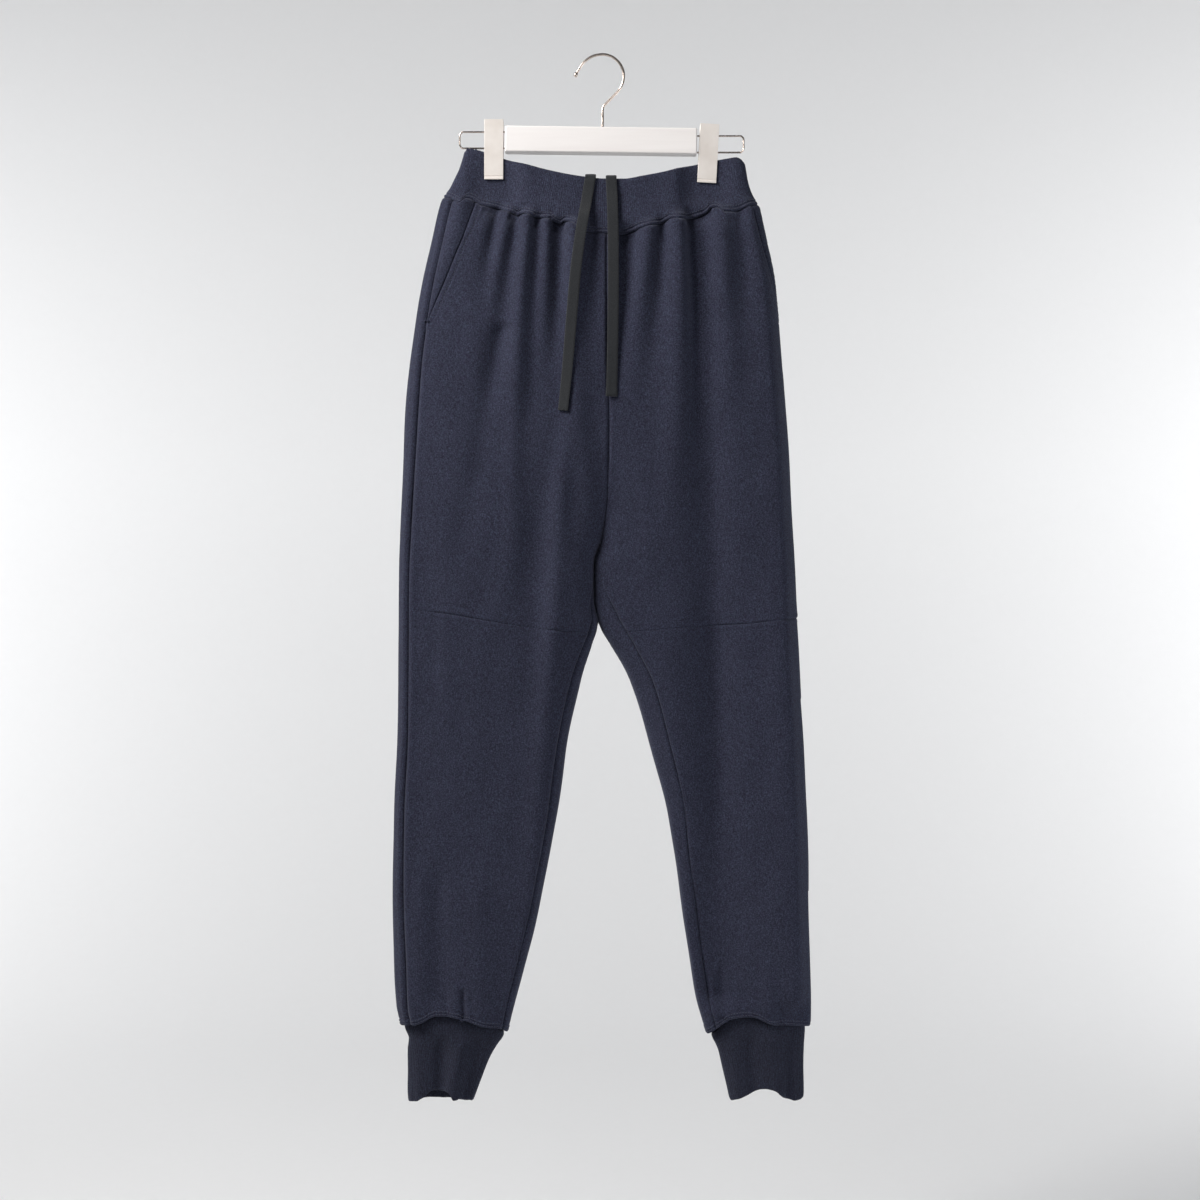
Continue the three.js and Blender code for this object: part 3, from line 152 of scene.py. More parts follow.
# creases that the fine cloth adds to the main folds, in the same columns
CREASES = [
    ("front", -1, -112, 959, -117, 985, -120, 1012, 3.0, 0.0, 1),
    ("front", -1, -165.0, 985, -163, 1002, -160.0, 1020, 3.2, 1.3, 1), ("front", -1, -145.0, 978, -145.4, 996, -145, 1012, 2.3, 2.6, 1),
    ("front", +1, -153.5, 970, -154, 992, -154, 1016, 4.0, 1.1, 1), ("front", -1, -137.0, 985, -136, 1000, -134, 1018, 3.0, 0.9, 1),
    ("front", +1, 117.0, 960, 116, 988, 115, 1014, 3.6, 1.3, 1), ("front", -1, 126.0, 950, 127, 985, 128, 1014, 4.0, 1.6, 1),
    ("front", +1, 172.0, 940, 173, 975, 172, 1016, 6.0, 1.8, 1), ("front", -1, 186.0, 960, 187, 990, 187, 1020, 4.5, 1.3, 1),
    ("front", -1, 150.0, 975, 151, 995, 151, 1016, 3.4, 1.0, 1), ("front", +1, 200.0, 965, 201, 990, 200, 1020, 4.5, 0.9, 1),
    ("front", -1, -174.0, 540, -174.5, 660, -173, 770, 6.0, 0.9, 0), ("front", +1, -164.0, 560, -163.5, 680, -162, 800, 8.0, 0.7, 0),
    ("front", -1, -141.0, 620, -150, 760, -158, 900, 12.0, 0.8, 0), ("front", -1, -112.0, 640, -118, 780, -124, 900, 13.0, 0.9, 0),
    ("front", +1, 100.0, 700, 104, 800, 112, 940, 9.0, 0.9, 0), ("front", -1, 168.0, 600, 172, 760, 176, 930, 10.0, 0.9, 0),
    # long shallow troughs and ridges down the legs
    ("front", -1, 102, 302, 117, 640, 126, 1010, 25.0, 6.6, 1), ("front", +1, 178, 150, 197, 560, 206, 1010, 24.0, 6.5, 1),
    ("front", -1, 110, 540, 119, 760, 124, 1010, 17.0, 4.2, 1),
    ("front", -1, 92, 168, 95, 260, 101, 520, 5.5, 4.2, 0), ("front", -1, -108, 160, -118, 225, -125, 330, 6.5, 3.6, 0.2),
    ("front", -1, -104, 290, -122, 385, -150, 570, 11.0, 4.2, 0), ("front", +1, -34, 340, -52, 600, -74, 900, 10.0, 5.6, 0.6),
    ("front", -1, -52, 168, -53.5, 230, -57, 300, 4.5, 1.6, 0), ("front", -1, 20, 186, 19, 250, 17, 330, 5.0, 1.5, 0),
    ("front", +1, 42, 420, 50, 540, 58, 640, 8.0, 1.6, 0), ("front", -1, -6, 190, -8, 250, -11, 330, 6.0, 2.2, 0),
    ("front", +1, -206, 430, -207, 700, -207, 1000, 9.0, 1.6, 1), ("front", -1, -184, 420, -188, 640, -190, 960, 15.0, 1.5, 0.5),
    ("back", -1, -150.0, 700, -154, 820, -160, 960, 13.0, 1.6, 0), ("back", +1, 160.0, 640, 166, 800, 172, 960, 14.0, 1.8, 0),
    ("back", -1, -165.0, 975, -164, 995, -163, 1018, 4.0, 1.5, 1), ("back", +1, -150.0, 960, -149, 990, -148, 1018, 6.0, 1.6, 1),
    ("back", -1, -132.0, 975, -131, 995, -130, 1018, 4.0, 1.4, 1), ("back", -1, 150.0, 975, 150, 995, 150, 1018, 4.0, 1.5, 1),
    ("back", +1, 168.0, 960, 169, 990, 170, 1018, 6.0, 1.6, 1), ("back", -1, 188.0, 975, 188, 995, 188, 1018, 4.0, 1.3, 1)]
GRIPS = [-114.0, 110.4]

CLOTH, BAND, CUFF, GAP, POCKET_STEP, FOLD_GAIN = 2.0, 3.2, 2.4, 0.05, 0.7, 1.2
WAIST_ROW, KNEE_ROW, ANKLE_ROW = 165.0, 598.0, 1018.0


def smooth(a, b, t):
    s = np.clip((np.asarray(t, float) - a) / (b - a), 0, 1)
    return s * s * (3 - 2 * s)


def mix(a, b, t):
    return a + (b - a) * t


def read(t, key, column, x):
    k, v = t[key], t[column]
    x = np.clip(np.asarray(x, float), k[0], k[-1])
    s = np.diff(v) / np.diff(k)
    m = np.empty_like(v)
    m[0], m[-1] = s[0], s[-1]
    a, b = s[:-1], s[1:]
    same = a * b > 0
    m[1:-1] = np.where(same, 2 * a * b / np.where(same, a + b, 1), 0)
    i = np.clip(np.searchsorted(k, x, side="right") - 1, 0, len(k) - 2)
    h = k[i + 1] - k[i]
    u = (x - k[i]) / h
    return (v[i] * (1 + 2 * u) * (1 - u) ** 2 + m[i] * h * u * (1 - u) ** 2
            + v[i + 1] * u * u * (3 - 2 * u) + m[i + 1] * h * u * u * (u - 1))


def outer(leg, d):
    return read(OUTLINE, "drop", "outerR" if leg < 0 else "outerL", d)


def inner(leg, d):
    touch = smooth(425, 452, d) * (1 - smooth(593, 603, d))
    return read(OUTLINE, "drop", "inner", d) + leg * mix(read(OUTLINE, "drop", "split", d), -0.9, touch)


def fold_sum(rows, face, x, d):
    total = np.zeros(np.broadcast(x, d).shape)
    for f, kind, x0, d0, x1, d1, x2, d2, wide, high, end in rows:
        if f != face or high == 0:
            continue
        t = np.clip((d - d0) / (d2 - d0), 0, 1)
        m = (d1 - d0) / (d2 - d0)
        c = x0 * (t - m) * (t - 1) / m + x1 * t * (t - 1) / (m * (m - 1)) + x2 * t * (t - m) / (1 - m)
        w = wide * (1 + 0.45 * t)
        start = smooth(0, 0.25, t) if d0 > 300 else smooth(d0 - 9, d0 + 5, d)
        left = mix(1, end, smooth(0.1, 1, t))
        if d2 < 1005 and end > 0.5:
            # runs out below its end, where another fold may take over
            left = left * (1 - smooth(d2 - 15, d2 + 85, d))
        elif d2 < 1005 and end > 0:
            left = left * (1 - smooth(0.8, 1, t))
        elif high > 3:
            left = left * (1 - smooth(988, 1010, d))
        left = np.where((d > max(d2 + 1, d2 + 86 if d2 < 1005 and end > 0.5 else 0)) | (d < d0 - 40), 0, left)
        total = total + kind * high * start * left * np.exp(-(((x - c) / w) ** 2))
    return total


def pinch(x, d):
    p = 0
    for g in GRIPS:
        p = np.maximum(p, np.exp(-(((x - g) / 27) ** 4)))
    return p * (1 - smooth(133, 190, d))


def behind(turn):
    return (turn < 0) | ((turn > math.pi) & (turn < 2 * math.pi))


def point(leg, turn, d, fine=True):
    turn, d = np.broadcast_arrays(np.asarray(turn, float), np.asarray(d, float))
    xo, xi = outer(leg, d), inner(leg, d)
    c = np.cos(turn)
    x = mix(xo, xi, (1 - c) / 2)
    back = behind(turn)
    open_ = read(DEPTH, "drop", "open", d)
    s = np.abs(np.sin(turn))
    power = 0.72 - 0.25 * smooth(210, 520, d)
    form = np.where(c > 0, s ** power, open_ + (1 - open_) * s ** (power + 1.3 * open_))
    deep = np.where(back, read(DEPTH, "drop", "back", d), read(DEPTH, "drop", "front", d))
    shift = leg * read(DEPTH, "drop", "shift", d)
    pressed = pinch(x, d)
    y = deep * form
    y = mix(y, np.minimum(y, 4.6), pressed)
    reach = np.minimum(np.abs(x - xo), np.where(d > 470, np.abs(x - xi), 60))
    rows = FOLDS + CREASES if fine else FOLDS
    f = np.where(back, fold_sum(rows, "back", x, d), fold_sum(rows, "front", x, d))
    y = y + f * FOLD_GAIN * smooth(0.5, 16, reach) * (1 - pressed)
    return np.stack([x, np.where(back, y, -y) + shift, -d], -1)


def turn_of(u):
    u = np.asarray(u, float)
    a = -np.arccos(np.clip(1 + 2 * u, -1, 1))
    b = np.arccos(np.clip(1 - 2 * u, -1, 1))
    c = 2 * math.pi - np.arccos(np.clip(1 - 2 * (2 - u), -1, 1))
    e = 2 * math.pi + np.arccos(np.clip(1 - 2 * (u - 2), -1, 1))
    return np.where(u < 0, a, np.where(u <= 1, b, np.where(u <= 2, c, e)))


def side_seam(leg, d):
    return read(SEAMS, "drop", "sideR" if leg < 0 else "sideL", d) / np.abs(outer(leg, d) - inner(leg, d))


def in_seam(leg, d):
    v = read(SEAMS, "drop", "inR" if leg < 0 else "inL", d) / np.abs(outer(leg, d) - inner(leg, d))
    return 1 - np.where(np.asarray(d) < 537, 0, v)


def pocket_line(leg, d):
    return read(POCKET, "drop", "right" if leg < 0 else "left", d) / np.abs(outer(leg, d) - inner(leg, d))


def row_drop(leg, x, nominal, back):
    side = "right" if leg < 0 else "left"
    top = np.where(back, read(WAIST_SEAM, "x", "back", x), read(WAIST_SEAM, "x", "front", x))
    sided = np.abs(x - outer(leg, nominal))
    d = nominal + (top - WAIST_ROW) * (1 - smooth(WAIST_ROW - 5, 300, nominal))
    d = d + (read(KNEE, "in", side, sided) - KNEE_ROW) * np.maximum(0, 1 - np.abs(nominal - KNEE_ROW) / 100) ** 1.5
    across = sided / np.abs(outer(leg, nominal) - inner(leg, nominal))
    seam = np.where(back, read(CUFF_SEAM, "across", "back", across), read(CUFF_SEAM, "across", side, across))
    return d + (seam - ANKLE_ROW) * smooth(925, ANKLE_ROW, nominal) * (nominal > 925)


# ------------------------------------------------------------------ meshes
def unit(v):
    return v / np.maximum(np.linalg.norm(v, axis=-1, keepdims=True), 1e-9)


def slopes(p, ring):
    if ring:
        du = np.roll(p, -1, 0) - np.roll(p, 1, 0)
    else:
        du = np.gradient(p, axis=0)
    return du, np.gradient(p, axis=1)


def lengths(p, ring=False):
    """Distance across and down the grid, from the first column and row."""
    u = np.zeros(p.shape[:2])
    u[1:] = np.cumsum(np.linalg.norm(np.diff(p, axis=0), axis=-1), 0)
    v = np.zeros(p.shape[:2])
    v[:, 1:] = np.cumsum(np.linalg.norm(np.diff(p, axis=1), axis=-1), 1)
    return u, v


def new_mesh(name, verts, faces, material, cloth=None, smooth_faces=True):
    me = bpy.data.meshes.new(name)
    quads = np.asarray(faces, np.int32)
    n, k = quads.shape
    me.vertices.add(len(verts))
    me.vertices.foreach_set("co", (np.asarray(verts, float) / 1000).astype(np.float32).ravel())
    me.loops.add(n * k)
    me.loops.foreach_set("vertex_index", quads.ravel())
    me.polygons.add(n)
    me.polygons.foreach_set("loop_start", np.arange(0, n * k, k, dtype=np.int32))
    me.polygons.foreach_set("loop_total", np.full(n, k, np.int32))
    me.update(calc_edges=True)
    me.validate()
    me.polygons.foreach_set("use_smooth", np.full(len(me.polygons), smooth_faces))
    if cloth is not None:
        a = me.attributes.new("cloth", "FLOAT_VECTOR", "POINT")
        a.data.foreach_set("vector", np.asarray(cloth, np.float32).ravel())
    me.materials.append(material)
    ob = bpy.data.objects.new(name, me)
    scene.collection.objects.link(ob)
    return ob


def normals_of(p, ring=False):
    """Normals of a grid, pointing away from the middle of the leg or ring."""
    du, dv = slopes(p, ring)
    n = unit(np.cross(du, dv))
    away = p[..., :2] - np.array([(p[..., 0].min() + p[..., 0].max()) / 2, 0.0])
    return n if float((n[..., :2] * away).sum()) > 0 else -n


def shell(name, p, thick, material, ring=False, bulge=(0.35, 0.35, 0.35, 0.35), form=None):
    """Closed cloth wall inside the outer grid p (across, down), with rounded edges.
    bulge is for its first row, last row, first column and last column. form is the
    normals of the cloth without its ribs, for an inner face that doesn't fold."""
    n, m = p.shape[:2]
    du, dv = slopes(p, ring)
    du, dv = unit(du), unit(dv)
    normal = normals_of(p, ring)
    turned = float((np.cross(du, dv) * normal).sum()) < 0
    q = p - (normal if form is None else form) * thick
    u, v = lengths(p)
    idx = np.arange(n * m).reshape(n, m)
    nxt = np.roll(idx, -1, 0) if ring else idx[1:]
    cur = idx if ring else idx[:-1]
    front = np.stack([cur[:, :-1], cur[:, 1:], nxt[:, 1:], nxt[:, :-1]], -1).reshape(-1, 4)
    front = front if turned else front[:, ::-1]
    verts = [p.reshape(-1, 3), q.reshape(-1, 3)]
    cloth = [np.stack([u, v, np.zeros_like(u)], -1).reshape(-1, 3)] * 2
    faces = [front, front[:, ::-1] + n * m]
    count = 2 * n * m
    if ring:
        loops = [[(i, 0) for i in range(n)], [(i, m - 1) for i in range(n)][::-1]]
    else:
        loops = [[(i, 0) for i in range(n)] + [(n - 1, j) for j in range(1, m)]
                 + [(i, m - 1) for i in range(n - 2, -1, -1)] + [(0, j) for j in range(m - 2, 0, -1)]]
    for loop in loops:
        ii, jj = np.array(loop).T
        e = -dv[ii, jj] * (bulge[0] * (jj == 0))[:, None] + dv[ii, jj] * (bulge[1] * (jj == m - 1))[:, None]
        if not ring:
            e = e - du[ii, jj] * (bulge[2] * (ii == 0))[:, None] + du[ii, jj] * (bulge[3] * (ii == n - 1))[:, None]
        t = thick / 2
        middle = p[ii, jj] - normal[ii, jj] * t
        rings = [idx[ii, jj]]
        for angle in (40, 90, 140):
            f = math.radians(angle)
            verts.append(middle + normal[ii, jj] * t * math.cos(f) + e * t * math.sin(f))
            cloth.append(np.stack([u[ii, jj], v[ii, jj], np.zeros(len(ii))], -1))
            rings.append(count + np.arange(len(ii)))
            count += len(ii)
        rings.append(idx[ii, jj] + n * m)
        for r0, r1 in zip(rings[:-1], rings[1:]):
            f4 = np.stack([r0, np.roll(r0, -1), np.roll(r1, -1), r1], -1)
            faces.append(f4 if turned else f4[:, ::-1])
    return new_mesh(name, np.concatenate(verts), np.concatenate(faces), material, np.concatenate(cloth))


def grid(leg, start, end, rows, count, back, spread=0.5):
    """Points of a cut piece between two lines across the leg, one column each."""
    a = np.linspace(0, 1, count + 1)[:, None]
    w = mix(a, (1 - np.cos(math.pi * a)) / 2, spread)
    nominal = np.broadcast_to(rows[None, :], (count + 1, len(rows)))
    d = nominal.copy()
    for _ in range(6):
        u0, u1 = start(leg, d), end(leg, d)
        turn = mix(turn_of(u0), turn_of(u1), w) if back else turn_of(mix(u0, u1, w))
        x = mix(outer(leg, d), inner(leg, d), (1 - np.cos(turn)) / 2)
        d = row_drop(leg, x, nominal, behind(turn))
    return turn, d


def row_list(first, last, step, fine, reach):
    """Nominal rows, closer together within reach of both ends."""
    out, at = [first], first
    while at < last:
        near = min(at - first, last - at)
        at += fine if near < reach else step
        out.append(min(at, last))
    if out[-1] - out[-2] < fine * 0.5:
        out.pop(-2)
    return np.array(out, float)


rng = np.random.default_rng(7)
WAVES = [(rng.uniform(0.010, 0.030), rng.uniform(0.002, 0.010), rng.uniform(0, 6.28), rng.uniform(0.5, 1)) for _ in range(14)]


def undulation(x, z, sign):
    """Slow unevenness of soft cloth, about +-1."""
    total = np.zeros(np.broadcast(x, z).shape)
    for i, (fx, fz, ph, am) in enumerate(WAVES):
        total += am * np.sin(2 * math.pi * (x * fx + (z if i % 2 else -z) * fz) + ph + sign * (1.7 + i))
    return total / 4.0


def ripple(s, seed, pitch):
    """Uneven small gathers along a seam, about +-1."""
    r = np.random.default_rng(seed)
    total = np.zeros_like(s)
    for k in range(6):
        total += r.uniform(0.5, 1) * np.sin(2 * math.pi * s / (pitch * r.uniform(0.65, 1.7)) + r.uniform(0, 6.28))
    return total / 2.6


def bell(s, at, wide):
    return np.exp(-(((s - at) / wide) ** 2))


def lift(p, h, to_middle, face):
    """Grid p moved out by h, straight to the front or back near the middle seam."""
    n = normals_of(p)
    w = (np.exp(-((to_middle / 5.0) ** 2)) * (1 - smooth(500, 540, -p[..., 2])))[..., None]
    way = unit(n * (1 - w) + np.array([0.0, face, 0.0]) * w)
    return p + way * h[..., None]


def gathers(face, x, sv):
    """Cloth drawn in under the band: folds swell just below it, troughs fall back."""
    folds = fold_sum(FOLDS + CREASES, face, x[:, :1], 186.0)
    swell, sink = smooth(0.2, 3.5, folds), smooth(-0.2, -3.5, folds)
    return -1.5 * bell(sv, 0, 1.3) + 0.35 * bell(sv, 4.5, 3.0) + 1.0 * swell * bell(sv, 5, 4.5) - 2.4 * sink * bell(sv, 4.5, 5.5)


def fork(z):
    """The middle seam's groove runs out above the fork, and the inner seams' grooves start below it."""
    return 1 - smooth(462, 510, -z) * (1 - smooth(552, 585, -z))


KNEE_PULL = {
    -1: ([-215, -178, -172, -136, -131, -104, -98, -80, -58, -54, -38, -34, -19, 0],
         [0.2, 0.25, 1.0, 1.0, 0.6, 0.55, 0.35, 0.2, 0.15, 1.0, 0.9, 0.5, 0.35, 0.2]),
    1: ([0, 60, 100, 122, 126, 147, 150, 158, 162, 172, 176, 186, 190, 199, 215],
        [0.3, 0.3, 0.4, 0.6, 1.0, 1.0, 0.4, 0.5, 1.0, 1.0, 0.4, 0.5, 0.9, 0.8, 0.5])}


def knee_pull(leg, x):
    return np.interp(x, *KNEE_PULL[leg])


def leg_end(ev):
    """Two rows of stitching press the leg's end on the cuff's turnings."""
    return 0.6 * bell(ev, 1.5, 0.8) - 0.25 * bell(ev, 3.0, 0.6) + 0.45 * bell(ev, 4.5, 0.9) - 0.4 * bell(ev, 6.6, 0.9)


# ------------------------------------------------------------------ materials
def srgb(r, g, b):
    def one(c):
        c = c / 255
        return c / 12.92 if c <= 0.04045 else ((c + 0.055) / 1.055) ** 2.4
    return (one(r), one(g), one(b), 1)


class Nodes:
    def __init__(self, name):
        self.mat = bpy.data.materials.new(name)
        self.mat.use_nodes = True
        self.t = self.mat.node_tree
        self.t.nodes.clear()
        self.out = self.t.nodes.new("ShaderNodeOutputMaterial")
        self.bsdf = self.t.nodes.new("ShaderNodeBsdfPrincipled")
        self.t.links.new(self.bsdf.outputs[0], self.out.inputs[0])

    def set(self, **values):
        for k, v in values.items():
            self.bsdf.inputs[k.replace("_", " ")].default_value = v
        return self

    def node(self, kind, **props):
        n = self.t.nodes.new(kind)
        for k, v in props.items():
            if k.startswith("in_"):
                key = k[3:]
                n.inputs[int(key) if key.isdigit() else key.replace("_", " ")].default_value = v
            else:
                setattr(n, k, v)
        return n

    def link(self, a, b):
        self.t.links.new(a, b)

    def math(self, op, a, b=None, c=None):
        n = self.node("ShaderNodeMath", operation=op)
        for i, v in enumerate((a, b, c)):
            if v is None:
                continue
            if isinstance(v, (int, float)):
                n.inputs[i].default_value = v
            else:
                self.link(v, n.inputs[i])
        return n.outputs[0]

    def noise(self, vector, scale, detail=2.0, rough=0.5):
        n = self.node("ShaderNodeTexNoise")
        n.inputs["Scale"].default_value = scale
        n.inputs["Detail"].default_value = detail
        n.inputs["Roughness"].default_value = rough
        if vector is not None:
            self.link(vector, n.inputs["Vector"])
        return n

    def ramp(self, fac, stops):
        n = self.node("ShaderNodeValToRGB")
        el = n.color_ramp.elements
        while len(el) > len(stops):
            el.remove(el[-1])
        while len(el) < len(stops):
            el.new(0.5)
        for e, (pos, col) in zip(el, stops):
            e.position, e.color = pos, col
        self.link(fac, n.inputs[0])
        return n.outputs[0]

    def mixed(self, fac, a, b, blend="MIX"):
        n = self.node("ShaderNodeMix", data_type="RGBA", blend_type=blend)
        for i, v in ((0, fac), (6, a), (7, b)):
            if isinstance(v, (int, float)):
                n.inputs[i].default_value = v
            elif isinstance(v, tuple):
                n.inputs[i].default_value = v
            else:
                self.link(v, n.inputs[i])
        return n.outputs[2]

    def bump(self, height, strength, distance, before=None):
        n = self.node("ShaderNodeBump")
        n.inputs["Strength"].default_value = strength
        n.inputs["Distance"].default_value = distance
        self.link(height, n.inputs["Height"])
        if before is not None:
            self.link(before, n.inputs["Normal"])
        return n.outputs[0]


def cloth_material(name, dark, light, wale, course, melange=0.5, sheen=0.10):
    k = Nodes(name)
    k.set(Roughness=0.95, Specular_IOR_Level=0.18, Sheen_Weight=sheen, Sheen_Roughness=0.5)
    k.bsdf.inputs["Sheen Tint"].default_value = (0.75, 0.80, 1.0, 1)
    at = k.node("ShaderNodeAttribute", attribute_name="cloth")
    sep = k.node("ShaderNodeSeparateXYZ")
    k.link(at.outputs["Vector"], sep.inputs[0])
    coord = k.node("ShaderNodeTexCoord")
    obj = coord.outputs["Object"]
    u, v = sep.outputs[0], sep.outputs[1]
    # broad unevenness of the dye, a melange of fibres, and fine lint
    broad = k.noise(obj, 26, 3, 0.55)
    fibre = k.noise(obj, 620, 3, 0.7)
    stretch = k.node("ShaderNodeMapping")
    stretch.inputs["Scale"].default_value = (1100, 1100, 260)
    k.link(obj, stretch.inputs["Vector"])
    streak = k.noise(stretch.outputs[0], 1.0, 2, 0.6)
    grain = k.math("ADD", k.math("MULTIPLY", fibre.outputs[0], 0.6), k.math("MULTIPLY", streak.outputs[0], 0.4))
    base = k.ramp(grain, [(0.36, dark), (0.64, light)])
    tone = k.ramp(broad.outputs[0], [(0.3, (0.86, 0.86, 0.88, 1)), (0.7, (1.12, 1.12, 1.10, 1))])
    col = k.mixed(melange, base, tone, "MULTIPLY")
    # marl: bluish light fibres among slightly purple dark ones
    speck = k.noise(obj, 840, 1, 0.5)
    marl = k.ramp(speck.outputs[0], [(0.38, (0.64, 0.52, 0.64, 1)), (0.5, (0.99, 0.99, 1.0, 1)), (0.62, (1.30, 1.50, 1.40, 1))])
    col = k.mixed(0.8, col, marl, "MULTIPLY")
    # loops of the knit: columns along the length, each row half a loop out of step
    cu = k.math("MULTIPLY", u, 2 * math.pi / wale)
    cv = k.math("MULTIPLY", v, 2 * math.pi / course)
    wales = k.math("COSINE", cu)
    vee = k.math("ADD", cv, k.math("MULTIPLY", k.math("ABSOLUTE", k.math("SINE", k.math("MULTIPLY", cu, 0.5))), 2.2))
    loops = k.math("COSINE", vee)
    knit = k.math("ADD", k.math("MULTIPLY", wales, 0.55), k.math("MULTIPLY", loops, 0.45))
    # Painted shade and highlight: the colour is darkened in the grooves between the knit's loops and lightened on their
    # tops.
    painted_groove_shade = k.ramp(k.math("ADD", k.math("MULTIPLY", knit, 0.25), 0.5), [(0.15, (0.80, 0.80, 0.80, 1)), (0.85, (1.14, 1.14, 1.14, 1))])
    col = k.mixed(0.55, col, painted_groove_shade, "MULTIPLY")
    k.link(col, k.bsdf.inputs["Base Color"])
    fuzz = k.bump(fibre.outputs[0], 0.35, 0.00045)
    k.link(k.bump(knit, 0.45, 0.00022, fuzz), k.bsdf.inputs["Normal"])
    return k.mat


FLEECE = cloth_material("fleece", srgb(28, 29, 41), srgb(49, 51, 69), 1.25, 1.0)
RIB_MAT = cloth_material("rib_knit", srgb(30, 31, 43), srgb(52, 54, 72), 1.15, 0.95)
# The cuffs get a darker copy of the rib knit: painted shade for the light falling off towards the bottom of the
# trousers.
CUFF_PAINTED_SHADE_MAT = cloth_material("rib_knit_cuff_painted_shade", srgb(23, 24, 34), srgb(41, 43, 58), 1.15, 0.95)


def thread_material(name, dark, light):
    k = Nodes(name)
    k.set(Roughness=0.75, Specular_IOR_Level=0.3, Sheen_Weight=0.2)
    coord = k.node("ShaderNodeTexCoord")
    n = k.noise(coord.outputs["Object"], 2500, 2)
    k.link(k.ramp(n.outputs[0], [(0.3, dark), (0.7, light)]), k.bsdf.inputs["Base Color"])
    k.link(k.bump(n.outputs[0], 0.3, 0.0001), k.bsdf.inputs["Normal"])
    return k.mat


THREAD = thread_material("thread", srgb(40, 42, 55), srgb(62, 65, 82))


def tape_material():
    k = Nodes("tape_twill")
    k.set(Roughness=0.85, Specular_IOR_Level=0.25, Sheen_Weight=0.15, Sheen_Roughness=0.5)
    at = k.node("ShaderNodeAttribute", attribute_name="cloth")
    sep = k.node("ShaderNodeSeparateXYZ")
    k.link(at.outputs["Vector"], sep.inputs[0])
    u, v = sep.outputs[0], sep.outputs[1]
    coord = k.node("ShaderNodeTexCoord")
    n = k.noise(coord.outputs["Object"], 900, 3, 0.6)
    # herringbone twill: the slant turns over in the middle of the tape
    slant = k.math("ADD", v, k.math("MULTIPLY", k.math("ABSOLUTE", k.math("PINGPONG", u, 2.75)), 1.0))
    rib = k.math("SINE", k.math("MULTIPLY", slant, 2 * math.pi / 1.05))
    cord = k.math("COSINE", k.math("MULTIPLY", u, 2 * math.pi / 0.78))
    weave = k.math("ADD", k.math("MULTIPLY", rib, 0.6), k.math("MULTIPLY", cord, 0.4))
    col = k.ramp(n.outputs[0], [(0.3, srgb(22, 24, 27)), (0.7, srgb(37, 39, 43))])
    # Painted shade and highlight: the colour is darkened in the twill's grooves and lightened on its ribs.
    painted_groove_shade = k.ramp(k.math("ADD", k.math("MULTIPLY", weave, 0.3), 0.5), [(0.2, (0.72, 0.72, 0.72, 1)), (0.8, (1.15, 1.15, 1.15, 1))])
    k.link(k.mixed(0.7, col, painted_groove_shade, "MULTIPLY"), k.bsdf.inputs["Base Color"])
    k.link(k.bump(weave, 0.6, 0.0003), k.bsdf.inputs["Normal"])
    return k.mat


TAPE_MAT = tape_material()


def paint_material():
    k = Nodes("bar_paint")
    k.set(Roughness=0.42, Specular_IOR_Level=0.45)
    coord = k.node("ShaderNodeTexCoord")
    stretch = k.node("ShaderNodeMapping")
    stretch.inputs["Scale"].default_value = (6, 90, 90)
    k.link(coord.outputs["Object"], stretch.inputs["Vector"])
    n = k.noise(stretch.outputs[0], 1.0, 4, 0.6)
    k.link(k.ramp(n.outputs[0], [(0.3, srgb(219, 214, 212)), (0.7, srgb(226, 222, 220))]), k.bsdf.inputs["Base Color"])
    peel = k.noise(coord.outputs["Object"], 420, 2)
    grain = k.bump(n.outputs[0], 0.12, 0.0004)
    k.link(k.bump(peel.outputs[0], 0.05, 0.0002, grain), k.bsdf.inputs["Normal"])
    return k.mat


def metal_material(name, dark, light, rough, scale, metallic=1.0):
    k = Nodes(name)
    k.set(Metallic=metallic, Roughness=rough)
    coord = k.node("ShaderNodeTexCoord")
    stretch = k.node("ShaderNodeMapping")
    stretch.inputs["Scale"].default_value = scale
    k.link(coord.outputs["Object"], stretch.inputs["Vector"])
    n = k.noise(stretch.outputs[0], 1.0, 3, 0.6)
    cloud = k.noise(coord.outputs["Object"], 60, 2)
    k.link(k.ramp(cloud.outputs[0], [(0.3, dark), (0.7, light)]), k.bsdf.inputs["Base Color"])
    k.link(k.math("ADD", k.math("MULTIPLY", n.outputs[0], 0.16), rough - 0.08), k.bsdf.inputs["Roughness"])
    k.link(k.bump(n.outputs[0], 0.08, 0.0001), k.bsdf.inputs["Normal"])
    return k.mat


PAINT = paint_material()
NICKEL = metal_material("nickel_wire", srgb(186, 172, 162), srgb(206, 194, 186), 0.26, (400, 400, 400))
CLIP_METAL = metal_material("nickel_satin", srgb(226, 218, 211), srgb(236, 229, 223), 0.42, (1500, 1500, 30), 0.35)



def fabric(name, node, p, thick, material, ring=False, bulge=(0.35, 0.35, 0.35, 0.35), form=None):
    ob = shell(name, p, thick, material, ring, bulge, form=form)
    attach(ob, "root")
    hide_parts(*([node] if isinstance(node, str) else node))
    return ob


# ------------------------------------------------------------------ tapes
TAPE_WIDE, TAPE_THICK, TAPE_CLEAR, TAPE_TUCK = 11.0, 1.5, 0.5, 16.0
TAPES = [
    ("drawcord_right", [(-12.0, 129.4), (-15.5, 152), (-22.0, 190), (-27.4, 232), (-32.0, 285), (-36.2, 335), (-40.6, 377.5)], 0.279),
    ("drawcord_left", [(9.6, 131.2), (10.6, 152), (11.6, 190), (11.8, 232), (11.4, 285), (10.6, 335), (9.9, 362.5)], 0.262)]


